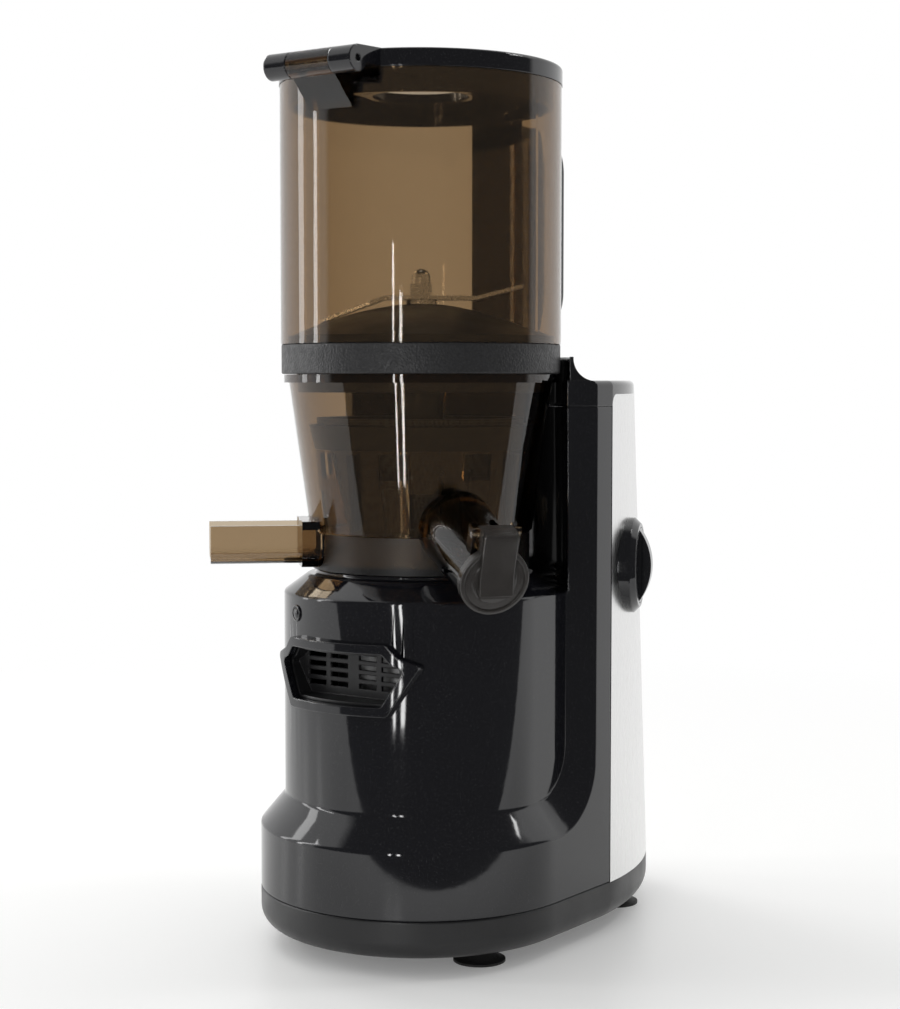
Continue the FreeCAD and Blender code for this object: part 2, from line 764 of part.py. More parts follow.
def selector_knob():
    face_r = BEZEL_R - BEZEL_RIM - 1 - KNOB_GAP
    plate = along_x(face_r, BEZEL_T - KNOB_T, BEZEL_T)
    bar = Part.Face(closed_wire([
        V(BEZEL_T - 1, -GRIP_W / 2, -face_r + 1), V(BEZEL_T, -GRIP_W / 2, -face_r + 1),
        [V(BEZEL_T + GRIP_H, -GRIP_W / 2, 0), V(BEZEL_T, -GRIP_W / 2, face_r - 1)],
        V(BEZEL_T - 1, -GRIP_W / 2, face_r - 1),
    ])).extrude(V(0, GRIP_W, 0))
    shaft = along_x(KNOB_SHAFT_R, -KNOB_SHAFT_L, BEZEL_T - KNOB_T)
    return placed(fused(plate, bar, shaft), knob_frame())


def switch_body():
    low = -KNOB_SHAFT_L + SWITCH_T / 2
    body = block(low - SWITCH_T, low, -SWITCH_W / 2, SWITCH_W / 2, -SWITCH_W / 2, SWITCH_W / 2)
    neck = along_x(SWITCH_NECK_R, low, low + SWITCH_NECK_L)
    body = fused(body, neck).cut(along_x(KNOB_SHAFT_R + RUN_GAP, -KNOB_SHAFT_L - 1, 30))
    return placed(body, knob_frame())


def cord_gland():
    at = gland_place()
    bush = Part.makeCylinder(GLAND_R, GLAND_L, at + V(0, -GLAND_L, 0), V(0, 1, 0))
    flange = Part.makeCylinder(GLAND_FLANGE_R, GLAND_FLANGE_T, at, V(0, 1, 0))
    bore = Part.makeCylinder(GLAND_BORE_R, GLAND_L + GLAND_FLANGE_T, at + V(0, -GLAND_L, 0), V(0, 1, 0))
    return fused(bush, flange).cut(bore)


# Motor and reduction gear

def motor_can():
    shell = turned([
        (ROTOR_SHAFT_R + 2, MOTOR_LOW), (MOTOR_R, MOTOR_LOW), (MOTOR_R, MOTOR_TOP),
        (ROTOR_SHAFT_R + 2, MOTOR_TOP), (ROTOR_SHAFT_R + 2, MOTOR_TOP - CAN_T),
        (MOTOR_R - CAN_T, MOTOR_TOP - CAN_T), (MOTOR_R - CAN_T, MOTOR_LOW + CAN_T),
        (ROTOR_SHAFT_R + 2, MOTOR_LOW + CAN_T),
    ])
    pocket = SMALL_BEARING_R + 2.0
    low = tube(pocket, SMALL_BEARING_R, MOTOR_LOW + CAN_T, MOTOR_LOW + CAN_T + 5)
    high = tube(pocket, SMALL_BEARING_R, MOTOR_TOP - CAN_T - 5, MOTOR_TOP - CAN_T)
    return fused(shell, low, high)


def motor_bearings():
    low = tube(SMALL_BEARING_R, ROTOR_SHAFT_R + RUN_GAP, MOTOR_LOW + CAN_T, MOTOR_LOW + CAN_T + 5)
    high = tube(SMALL_BEARING_R, ROTOR_SHAFT_R + RUN_GAP, MOTOR_TOP - CAN_T - 5, MOTOR_TOP - CAN_T)
    return Part.makeCompound([low, high])


def motor_middle():
    return (MOTOR_LOW + MOTOR_TOP) / 2


def motor_stator():
    low = motor_middle() - STATOR_H / 2
    high = motor_middle() + STATOR_H / 2
    core = tube(MOTOR_R - CAN_T, ROTOR_R + AIR_GAP, low, high)
    gaps = [spun(block(ROTOR_R, ROTOR_R + 7, -2, 2, low, high), a) for a in range(0, 360, 60)]
    return core.cut(gaps)


def motor_rotor():
    core = disc(ROTOR_R, motor_middle() - ROTOR_H / 2, motor_middle() + ROTOR_H / 2)
    shaft = disc(ROTOR_SHAFT_R, MOTOR_LOW - FAN_H - 3, GEAR_LOW)
    sun = gear(SUN_TEETH, GEAR_LOW, GEAR_TOP)
    return fused(core, shaft, sun)


def motor_fan():
    high = MOTOR_LOW - 1
    low = high - FAN_H
    hub = tube(ROTOR_SHAFT_R + 5, ROTOR_SHAFT_R, low, high)
    plate = tube(FAN_R, ROTOR_SHAFT_R, low, low + 1.5)
    blades = [spun(block(ROTOR_SHAFT_R + 4, FAN_R - 1, -0.8, 0.8, low, high), a * 360 / FAN_BLADES)
              for a in range(FAN_BLADES)]
    return fused(hub, plate, *blades)


def gearbox_ring():
    body = disc(RING_OUT_R, RING_LOW, RING_TOP)
    teeth = inner_gear(RING_TEETH, RING_LOW + RING_FLOOR, CARRIER_LOW, PLANET_TEETH, 0.0)
    above = disc(RING_OUT_R - RING_WALL, CARRIER_LOW, RING_TOP)
    shaft = disc(MODULE * SUN_TEETH / 2 + MODULE + 2, RING_LOW, RING_LOW + RING_FLOOR)
    return body.cut([teeth, above, shaft])


def gearbox_cover():
    boss = BEARING_R + SHELL
    plate = turned([
        (SHAFT_R + 2, RING_TOP), (RING_OUT_R, RING_TOP), (RING_OUT_R, RING_TOP + SHELL),
        (boss + 4, RING_TOP + SHELL), (boss + 1, GEARBOX_TOP - SHELL),
        (COLUMN_R - SHELL - 6, GEARBOX_TOP - SHELL), (COLUMN_R - SHELL - 6, GEARBOX_TOP),
        (BEARING_R, GEARBOX_TOP), (BEARING_R, GEARBOX_TOP - BEARING_T),
        (SHAFT_R + 2, GEARBOX_TOP - BEARING_T),
    ])
    rib_r = COLUMN_R - SHELL - 10
    ribs = [spun(block(boss - 1, rib_r, -1.5, 1.5, RING_TOP + SHELL - 1, GEARBOX_TOP - SHELL + 1).common(
        turned([(boss - 1, RING_TOP + SHELL - 1), (RING_OUT_R - 2, RING_TOP + SHELL - 1),
                (rib_r, GEARBOX_TOP - SHELL + 1), (boss - 1, GEARBOX_TOP - SHELL + 1)])), a)
        for a in range(30, 390, 60)]
    return fused(plate, *ribs)


def output_bearing():
    return tube(BEARING_R, SHAFT_R + RUN_GAP, GEARBOX_TOP - BEARING_T, GEARBOX_TOP)


def shaft_seal():
    return tube(SEAL_R, SHAFT_R + RUN_GAP, GEARBOX_TOP, SEAT)


def planet_angles():
    return [i * 360.0 / PLANETS for i in range(PLANETS)]


def planet_gear(angle):
    return wheel_between(PLANET_TEETH, GEAR_LOW + 0.5, GEAR_TOP - 0.5, PLANET_RING_R, angle, PLANET_PIN_R)


def planet_carrier():
    plate = disc(RING_OUT_R - RING_WALL - 3.0, CARRIER_LOW, CARRIER_LOW + CARRIER_T)
    pins = [spun(disc(PLANET_PIN_R, GEAR_LOW, CARRIER_LOW, PLANET_RING_R, 0), a) for a in planet_angles()]
    shaft = disc(SHAFT_R, CARRIER_LOW + CARRIER_T, HEX_LOW)
    head = hexagon(HEX_FLATS, HEX_LOW, HEX_TOP)
    return fused(plate, shaft, head, *pins)


# Bowl

def spout_frame():
    out = heading(SPOUT_AZIMUTH)
    slope = math.radians(SPOUT_SLOPE)
    aim = V(out.x * math.cos(slope), out.y * math.cos(slope), -math.sin(slope))
    origin = out * SPOUT_REACH + UP * (BOWL_FOOT + SPOUT_RISE)
    return local_frame(origin, aim, V(-out.y, out.x, 0))


def chute_frame():
    out = heading(CHUTE_AZIMUTH)
    origin = UP * (BOWL_FOOT + CHUTE_RISE)
    return local_frame(origin, out, V(-out.y, out.x, 0))


def trough(width, height, corner, low, start, end):
    """A round-bottomed trough section in the local YZ plane, run along x."""
    half = width / 2
    bend = corner * (1 - math.sqrt(0.5))
    section = closed_wire([
        V(start, -half, low + height), V(start, -half, low + corner),
        [V(start, -half + bend, low + bend), V(start, -half + corner, low)],
        V(start, half - corner, low),
        [V(start, half - bend, low + bend), V(start, half, low + corner)],
        V(start, half, low + height),
    ])
    return Part.Face(section).extrude(V(end - start, 0, 0))


def cone_r(level, foot_r, top_r, low, high):
    """Radius of a straight cone at a level."""
    return foot_r + (top_r - foot_r) * (level - low) / (high - low)


def bowl_room():
    """The space inside the bowl."""
    return turned([
        (SLEEVE_R, BOWL_FLOOR), (BOWL_FOOT_R - CLEAR_WALL, BOWL_FLOOR),
        (BOWL_FOOT_R - CLEAR_WALL, BOWL_BAND), (BOWL_CONE_R - CLEAR_WALL, BOWL_CONE),
        (BOWL_TOP_R - CLEAR_WALL, FLANGE), (BOWL_TOP_R - CLEAR_WALL, FAR), (0, FAR),
        (0, SLEEVE_TOP), (SLEEVE_R, SLEEVE_TOP),
    ])


def bowl_outside():
    """The bowl as a full turned solid, which the spout and the chute are seated on."""
    return turned([
        (0, BOWL_FOOT), (BOWL_FOOT_R, BOWL_FOOT), (BOWL_FOOT_R, BOWL_BAND), (BOWL_CONE_R, BOWL_CONE),
        (BOWL_TOP_R, FLANGE), (FLANGE_R, FLANGE), (FLANGE_R, BOWL_TOP), (0, BOWL_TOP),
    ])


def spout_bore():
    return placed(along_x(SPOUT_BORE_R, -SPOUT_L - 20, 1), spout_frame())


def chute_outlet():
    """The hole through the bowl's wall and the collar of the chute."""
    hole = trough(CHUTE_W - 2 * CHUTE_WALL, CHUTE_H - 2 * CHUTE_WALL, CHUTE_ROUND - CHUTE_WALL, CHUTE_WALL,
                  BOWL_FOOT_R - CHUTE_SUNK, BOWL_FOOT_R + CHUTE_ROOT_T)
    return placed(hole, chute_frame())


def juice_bowl():
    body = bowl_outside().cut([bowl_room(), disc(SLEEVE_BORE_R, 0, FAR), spout_bore(), chute_outlet()])
    idler = heading(IDLER_AZIMUTH) * IDLER_RING_R
    pin = fused(disc(IDLER_PIN_R, BOWL_FLOOR - 1, BOWL_GEAR_TOP - 2 * LIFT_GAP, idler.x, idler.y),
                disc(2 * IDLER_PIN_R, BOWL_FLOOR - 1, BOWL_GEAR_LOW - LIFT_GAP, idler.x, idler.y))
    posts = []
    for azimuth in POST_AZIMUTHS:
        at = heading(azimuth) * POST_RING_R
        posts.append(disc(POST_R, BOWL_FLOOR - 1, STRAINER_LOW, at.x, at.y))
    return fused(body, pin, *posts)


def spout_tube():
    """The tapered spout with the two ears of the cap's hinge, welded to the bowl's wall."""
    cone = Part.makeCone(SPOUT_ROOT_R, SPOUT_R, SPOUT_L, V(-SPOUT_L, 0, 0), V(1, 0, 0))
    ear_top = CAP_PIN_UP + CAP_BARREL_R
    back = -CAP_PIN_BACK - CAP_BARREL_R
    ears = []
    for side in (1, -1):
        near = side * (CAP_BARREL_W / 2 + LIFT_GAP)
        far = near + side * CAP_EAR_W
        ears.append(block(back, -LIFT_GAP, min(near, far), max(near, far),
                          CAP_PIN_UP - CAP_EAR_DROP, ear_top))
    pin_hole = Part.makeCylinder(CAP_PIN_R, FAR, V(-CAP_PIN_BACK, -FAR / 2, CAP_PIN_UP), V(0, 1, 0))
    tube_part = placed(cone.fuse(ears).cut(pin_hole), spout_frame())
    return tube_part.cut([bowl_outside(), spout_bore()])


def pulp_chute():
    """The open trough with the collar at its root, welded to the bowl's wall."""
    start = BOWL_FOOT_R - CHUTE_SUNK
    collar_end = BOWL_FOOT_R + CHUTE_ROOT_T
    chute = trough(CHUTE_W, CHUTE_H, CHUTE_ROUND, 0, start, CHUTE_REACH)
    root = trough(CHUTE_W + 2 * CHUTE_ROOT_LIP, CHUTE_H + 2 * CHUTE_ROOT_LIP, CHUTE_ROUND, -CHUTE_ROOT_LIP,
                  start, collar_end)
    channel = trough(CHUTE_W - 2 * CHUTE_WALL, CHUTE_H, CHUTE_ROUND - CHUTE_WALL, CHUTE_WALL,
                     collar_end - LIFT_GAP, CHUTE_REACH + 1)
    body = placed(chute.fuse(root).cut(channel), chute_frame())
    return body.cut([bowl_outside(), chute_outlet()])


def bowl_gasket():
    return tube(SLEEVE_R, SLEEVE_BORE_R, SLEEVE_TOP, GASKET_TOP)


def cap_pin():
    half = CAP_BARREL_W / 2 + LIFT_GAP + CAP_EAR_W
    pin = Part.makeCylinder(CAP_PIN_R, 2 * half, V(-CAP_PIN_BACK, -half, CAP_PIN_UP), V(0, 1, 0))
    return placed(pin, spout_frame())


def juice_cap():
    half = CAP_BARREL_W / 2
    disc_part = along_x(CAP_R, LIFT_GAP, CAP_T + LIFT_GAP)
    barrel = Part.makeCylinder(CAP_BARREL_R, CAP_BARREL_W, V(-CAP_PIN_BACK, -half, CAP_PIN_UP), V(0, 1, 0))
    roof = block(-CAP_PIN_BACK, CAP_T + LIFT_GAP, -half, half, CAP_PIN_UP, CAP_PIN_UP + CAP_BARREL_R)
    arm = block(LIFT_GAP, CAP_T + LIFT_GAP, -half, half, CAP_R - 8, CAP_PIN_UP + CAP_BARREL_R)
    tongue = block(CAP_T + LIFT_GAP, CAP_T + LIFT_GAP + TONGUE_T, -TONGUE_W / 2, TONGUE_W / 2,
                   -TONGUE_DROP, CAP_PIN_UP + CAP_BARREL_R)
    lip = block(CAP_T + LIFT_GAP, CAP_T + LIFT_GAP + 2 * TONGUE_T, -TONGUE_W / 2, TONGUE_W / 2,
                -TONGUE_DROP - TONGUE_T, -TONGUE_DROP)
    bore = Part.makeCylinder(CAP_PIN_R + RUN_GAP, 60, V(-CAP_PIN_BACK, -30, CAP_PIN_UP), V(0, 1, 0))
    body = fused(disc_part, barrel, roof, arm, tongue, lip).cut(bore)
    return placed(body, spout_frame())


def cap_seal():
    seal = Part.makeCone(SPOUT_BORE_R - 2 * SEAL_GAP, SPOUT_BORE_R - SEAL_GAP, SEAL_T + LIFT_GAP,
                         V(-SEAL_T, 0, 0), V(1, 0, 0))
    return placed(seal, spout_frame())


def strainer():
    wall = STRAINER_WALL
    lip_r = STRAINER_TOP_R + STRAINER_LIP
    body = turned([
        (STRAINER_HOLE_R, STRAINER_LOW), (STRAINER_FOOT_R, STRAINER_LOW), (STRAINER_TOP_R, STRAINER_TOP),
        (lip_r, STRAINER_TOP), (lip_r, STRAINER_TOP + STRAINER_LIP_H),
        (STRAINER_TOP_R - wall, STRAINER_TOP + STRAINER_LIP_H), (STRAINER_TOP_R - wall, STRAINER_TOP),
        (STRAINER_FOOT_R - wall, STRAINER_LOW + wall), (STRAINER_HOLE_R, STRAINER_LOW + wall),
    ])
    slots = [spun(block(0, FAR, -STRAINER_SLOT_W / 2, STRAINER_SLOT_W / 2, STRAINER_LOW + 6,
                        STRAINER_TOP - 22), a * 360.0 / STRAINER_SLOTS) for a in range(STRAINER_SLOTS)]
    return body.cut(slots)


def idler_angle():
    return IDLER_AZIMUTH - 90.0


def brush_r(level):
    """Inner radius of the brush cage, a steady gap outside the strainer."""
    return cone_r(level, STRAINER_FOOT_R, STRAINER_TOP_R, STRAINER_LOW, STRAINER_TOP) + BRUSH_GAP


def brush_band_low():
    return STRAINER_TOP - 0.6 - BRUSH_BAND_H


def cage_r(level):
    """Inner radius of the cage's cone, from its geared foot up to its band."""
    foot_r = max(brush_r(BOWL_GEAR_TOP), BRUSH_FOOT_R - BRUSH_WALL)
    return cone_r(level, foot_r, brush_r(brush_band_low()), BOWL_GEAR_TOP, brush_band_low())


def brush_cage():
    low = BOWL_GEAR_TOP
    high = brush_band_low()
    teeth = inner_gear(BRUSH_TEETH, BOWL_GEAR_LOW, low, IDLER_TEETH, idler_angle())
    foot = disc(BRUSH_FOOT_R, BOWL_GEAR_LOW, low).cut(teeth)
    cone = turned([(cage_r(low), low), (cage_r(low) + BRUSH_SHEET, low),
                   (cage_r(high) + BRUSH_SHEET, high), (cage_r(high), high)])
    windows = [spun(block(0, FAR, -BRUSH_WINDOW_W / 2, BRUSH_WINDOW_W / 2,
                          high - BRUSH_WINDOW_H - 1.5, high - 1.5),
                    (a + 0.5) * 360.0 / BRUSH_WINDOWS) for a in range(BRUSH_WINDOWS)]
    openings = [spun(block(0, FAR, -BRUSH_OPENING_W / 2, BRUSH_OPENING_W / 2, low + 4,
                           low + 4 + BRUSH_OPENING_H), (a + 0.5) * 360.0 / BRUSH_OPENINGS)
                for a in range(BRUSH_OPENINGS)]
    rim = tube(BRUSH_FOOT_R, BRUSH_FOOT_R - BRUSH_SHEET, BOWL_FLOOR + LIFT_GAP, BOWL_GEAR_LOW)
    return fused(foot, rim, cone.cut(windows + openings))


def brush_ring():
    low = brush_band_low()
    high = STRAINER_TOP - 0.6
    return turned([(brush_r(low), low), (brush_r(low) + BRUSH_SHEET, low),
                   (brush_r(high) + BRUSH_SHEET, high), (brush_r(high), high)])


def wiper_blades():
    """Silicone strips that stand out from the cage's ribs towards the bowl's wall."""
    low = BOWL_CONE + 2
    high = brush_band_low() - 2

    def bowl_in(level):
        return cone_r(level, BOWL_CONE_R, BOWL_TOP_R, BOWL_CONE, FLANGE) - CLEAR_WALL - WIPER_GAP

    strip = Part.Face(closed_wire([
        V(cage_r(low) + BRUSH_SHEET, -WIPER_T / 2, low), V(bowl_in(low), -WIPER_T / 2, low),
        V(bowl_in(high), -WIPER_T / 2, high), V(cage_r(high) + BRUSH_SHEET, -WIPER_T / 2, high),
    ])).extrude(V(0, WIPER_T, 0))
    return Part.makeCompound([spun(strip, a * 360.0 / WIPERS) for a in range(WIPERS)])


def brush_gear():
    return wheel_between(IDLER_TEETH, BOWL_GEAR_LOW, BOWL_GEAR_TOP - LIFT_GAP, IDLER_RING_R, idler_angle(),
                         IDLER_PIN_R)


def auger():
    low = BOWL_GEAR_TOP
    room = turned([
        (0, low), (STRAINER_HOLE_R - AUGER_GAP, low),
        (STRAINER_HOLE_R - AUGER_GAP, STRAINER_LOW + STRAINER_WALL + AUGER_GAP),
        (STRAINER_FOOT_R - STRAINER_WALL - AUGER_GAP, STRAINER_LOW + STRAINER_WALL + AUGER_GAP),
        (STRAINER_TOP_R - STRAINER_WALL - AUGER_GAP, STRAINER_TOP), (0, STRAINER_TOP),
    ])
    pinion = gear(AUGER_TEETH, BOWL_GEAR_LOW, low, phase=idler_angle())
    core = turned([
        (0, low), (STRAINER_HOLE_R - AUGER_GAP, low),
        (STRAINER_HOLE_R - AUGER_GAP, STRAINER_LOW + STRAINER_WALL + AUGER_GAP),
        (AUGER_CORE_FOOT_R, STRAINER_LOW + 10), (AUGER_CORE_TOP_R, AUGER_CONE_TOP),
        (AUGER_CORE_TOP_R, AUGER_TOP - 4), (AUGER_CORE_TOP_R - 2, AUGER_TOP), (0, AUGER_TOP),
    ])
    path_r = AUGER_CORE_FOOT_R
    flight_low = STRAINER_LOW + STRAINER_WALL + AUGER_GAP
    turns_h = STRAINER_TOP - flight_low - AUGER_FLIGHT_T
    path = Part.makeHelix(AUGER_PITCH, turns_h, path_r)
    reach = STRAINER_TOP_R
    section = closed_wire([
        V(AUGER_CORE_TOP_R - 4, 0, 0), V(reach, 0, 0), V(reach, 0, AUGER_FLIGHT_T * 0.6),
        V(AUGER_CORE_TOP_R - 4, 0, AUGER_FLIGHT_T),
    ])
    flight = Part.Wire(path).makePipeShell([section], True, True)
    flight.translate(UP * flight_low)
    body = fused(core.fuse(flight.common(room)), pinion)
    socket = hexagon(HEX_FLATS + 6 * RUN_GAP, 0, HEX_TOP + 1)
    clear = disc(SHAFT_R + 0.5, 0, HEX_LOW)
    half = SQUARE / 2 + 2 * RUN_GAP
    square = block(-half, half, -half, half, AUGER_TOP - SQUARE_L - 1, FAR)
    return body.cut([socket, clear, square])


# Hopper

def hopper_collar():
    spigot_low = COLLAR - COLLAR_SPIGOT_H
    bowl_in = cone_r(spigot_low, BOWL_CONE_R, BOWL_TOP_R, BOWL_CONE, FLANGE) - CLEAR_WALL
    mouth = bowl_in - 2 * LIFT_GAP
    return turned([
        (mouth - SHELL, spigot_low), (mouth, spigot_low), (mouth, COLLAR),
        (COLLAR_R, COLLAR), (COLLAR_R, COLLAR_TOP), (mouth - SHELL, COLLAR_TOP),
    ])


def hopper_wall():
    body = tube(HOPPER_R, HOPPER_IN_R, COLLAR_TOP, HOPPER_TOP)
    half = KNUCKLE_W / 2 - LIFT_GAP / 2
    knuckle = Part.makeCylinder(BARREL_R, 2 * half, V(-half, HINGE_Y, HINGE_Z), V(1, 0, 0))
    bracket = Part.Face(closed_wire([
        V(-half, -HOPPER_IN_R + 1, HOPPER_TOP - BRACKET_H), V(-half, -HOPPER_R, HOPPER_TOP - BRACKET_H),
        V(-half, HINGE_Y - BARREL_R, HINGE_Z), V(-half, HINGE_Y + BARREL_R - 2, HINGE_Z),
        V(-half, HINGE_Y + BARREL_R - 2, HOPPER_TOP - 2), V(-half, -HOPPER_IN_R + 1, HOPPER_TOP - 2),
    ])).extrude(V(2 * half, 0, 0))
    bracket = bracket.cut(disc(HOPPER_IN_R + 1, 0, FAR))
    hole = Part.makeCylinder(HINGE_PIN_R, 2 * BARREL_W, V(-BARREL_W, HINGE_Y, HINGE_Z), V(1, 0, 0))
    return fused(body, knuckle, bracket).cut(hole)


def hinge_pin():
    return Part.makeCylinder(HINGE_PIN_R, BARREL_W - 4, V(-BARREL_W / 2 + 2, HINGE_Y, HINGE_Z), V(1, 0, 0))


def floor_z(radius):
    """Top of the domed hopper floor at a radius, on the arc that the floor is turned from."""
    outer = HOPPER_IN_R - 2.5
    share = (radius - BOSS_R) / (outer - BOSS_R)
    return BOSS_TOP - (FLOOR_RISE - FLOOR_RIM_H) * (0.45 * share + 0.55 * share ** 2)


def hopper_floor():
    outer = HOPPER_IN_R - LIFT_GAP
    edge = HOPPER_IN_R - 2.5
    middle = (BOSS_R + edge) / 2
    body = turned([
        (BUSH_R, BOSS_TOP - BOSS_DROP), (BOSS_R, BOSS_TOP - BOSS_DROP), (BOSS_R, BOSS_TOP - FLOOR_SHEET),
        [(middle, floor_z(middle) - FLOOR_SHEET), (edge, FLOOR_LOW)],
        (outer, FLOOR_LOW), (outer, FLOOR_LOW + FLOOR_RIM_H), (edge, FLOOR_LOW + FLOOR_RIM_H),
        [(middle, floor_z(middle)), (BOSS_R, BOSS_TOP)], (BUSH_R, BOSS_TOP),
    ])
    sector = turned([(DROP_INNER_R, 0), (DROP_OUTER_R, 0), (DROP_OUTER_R, FAR), (DROP_INNER_R, FAR)],
                    DROP_ARC)
    sector = spun(sector, DROP_AZIMUTH - 90 - DROP_ARC / 2)
    return body.cut(sector)


def floor_bush():
    return tube(BUSH_R, SPINDLE_R + RUN_GAP, BOSS_TOP - BOSS_DROP, BOSS_TOP)


def hopper_handle():
    pad = tube(HOPPER_R + HANDLE_PAD_T, HOPPER_R, COLLAR_TOP, HOPPER_TOP - 1)
    pad = pad.common(block(-HANDLE_PAD_W / 2, HANDLE_PAD_W / 2, 0, FAR, 0, FAR))
    low = COLLAR_TOP + HANDLE_FOOT_UP
    high = low + HANDLE_H
    near = HOPPER_R + HANDLE_PAD_T / 2
    far = HOPPER_R + HANDLE_REACH
    loop = block(-HANDLE_W / 2, HANDLE_W / 2, near - 4, far, low, high)
    corners = [e for e in loop.Edges
               if abs(e.tangentAt(e.FirstParameter).x) > 0.99 and e.CenterOfMass.y > near]
    loop = loop.makeFillet(HANDLE_ROUND + HANDLE_GRIP, corners)
    gap = block(-HANDLE_W, HANDLE_W, HOPPER_R, far - HANDLE_GRIP, low + HANDLE_ARM, high - HANDLE_ARM)
    inner = [e for e in gap.Edges if abs(e.tangentAt(e.FirstParameter).x) > 0.99 and e.CenterOfMass.y > near]
    loop = loop.cut([gap.makeFillet(HANDLE_ROUND, inner), disc(HOPPER_R, 0, FAR)])
    long_edges = [e for e in loop.Edges if e.CenterOfMass.y > near + 8 and
                  abs(abs(e.CenterOfMass.x) - HANDLE_W / 2) < 0.01]
    loop = loop.makeFillet(3.0, long_edges)
    return fused(pad, loop)


def feed_blade():
    """A strip with one arm bent down along the floor and one arm ending in a turned-up paddle."""
    half = BLADE_W / 2
    low = BLADE_LOW
    tip = floor_z(BLADE_R) + BLADE_FLOOR_GAP
    knee = BLADE_R * 0.35
    wing = BLADE_R * 0.55
    side = Part.Face(closed_wire([
        V(-BLADE_R, -half, tip), V(-knee, -half, low), V(wing, -half, low),
        V(BLADE_R, -half, low + PADDLE_H), V(BLADE_R, -half, low + PADDLE_H + BLADE_T),
        V(wing, -half, low + BLADE_T), V(-knee, -half, low + BLADE_T),
        V(-BLADE_R, -half, tip + BLADE_T),
    ])).extrude(V(0, BLADE_W, 0))
    plan = closed_wire([
        V(-BLADE_R, -half + 3, 0), V(-BLADE_R * 0.5, -half, 0), V(0, -half, 0),
        V(BLADE_R * 0.4, -half * 0.6, 0),
        V(BLADE_R, -half + 3, 0), V(BLADE_R, half - 8, 0), V(BLADE_R * 0.5, half, 0), V(0, half, 0),
        V(-BLADE_R * 0.4, half * 0.6, 0), V(-BLADE_R, half - 8, 0),
    ])
    body = side.common(Part.Face(plan).extrude(UP * FAR))
    return spun(body.cut(disc(STUD_R, 0, FAR)), BLADE_AZIMUTH - 90)


def blade_spindle():
    shoulder = disc(SPINDLE_R + 3, BOSS_TOP + 0.3, BLADE_LOW)
    shaft = disc(SPINDLE_R, AUGER_TOP + 1, BOSS_TOP + 0.3)
    stud = disc(STUD_R, BLADE_LOW, BLADE_LOW + BLADE_T + STUD_L)
    half = SQUARE / 2
    square = block(-half, half, -half, half, AUGER_TOP - SQUARE_L, AUGER_TOP + 1)
    return fused(shoulder, shaft, stud, square)


def blade_nut():
    low = BLADE_LOW + BLADE_T
    hexagon_part = hexagon(NUT_FLATS, low, low + NUT_H * 0.45)
    dome_r = NUT_FLATS / 2 - 0.4
    spring = low + NUT_H - dome_r
    dome = turned([
        (0, low), (dome_r, low), (dome_r, spring),
        [(dome_r * math.sqrt(0.5), spring + dome_r * math.sqrt(0.5)), (0, low + NUT_H)],
    ])
    stud = disc(STUD_R, low, low + STUD_L)
    return fused(hexagon_part, dome).cut(stud)


def lid():
    skirt_r = HOPPER_IN_R - LID_SKIRT_GAP
    skirt_in = skirt_r - LID_SHEET
    hole_low = LID_LOW - LID_HOLE_H
    body = turned([
        (LID_HOLE_R, hole_low), (LID_HOLE_R + LID_SHEET, hole_low), (skirt_in, LID_LOW + 1),
        (skirt_in, LID_LOW - LID_SKIRT_H), (skirt_r, LID_LOW - LID_SKIRT_H), (skirt_r, LID_LOW),
        (LID_R, LID_LOW), (LID_R, LID_TOP - 1.5), [(LID_R - 0.5, LID_TOP - 0.4), (LID_R - 1.5, LID_TOP)],
        (LID_R - LID_RIM_W, LID_TOP), (LID_HOLE_R, hole_low + LID_HOLE_H),
    ])
    half = BARREL_W / 2
    barrel = Part.makeCylinder(BARREL_R, BARREL_W, V(-half, HINGE_Y, HINGE_Z), V(1, 0, 0))
    arm = Part.Face(closed_wire([
        V(-half, HINGE_Y, HINGE_Z + BARREL_R), V(-half, -LID_R + LID_RIM_W + 6, LID_TOP),
        V(-half, -LID_R + LID_RIM_W + 6, LID_LOW), V(-half, HINGE_Y, LID_LOW),
    ])).extrude(V(BARREL_W, 0, 0))
    arm = arm.cut(disc(LID_R - 2, 0, FAR))
    hinge = barrel.fuse(arm)
    middle = KNUCKLE_W / 2 + LIFT_GAP / 2
    gap = block(-middle, middle, -FAR, -LID_R + 0.5, LID_LOW - 20, FAR)
    hinge = hinge.cut(gap.cut(disc(LID_R, 0, FAR)))
    hole = Part.makeCylinder(HINGE_PIN_R + RUN_GAP, 2 * BARREL_W, V(-BARREL_W, HINGE_Y, HINGE_Z), V(1, 0, 0))
    return fused(body, hinge).cut(hole)


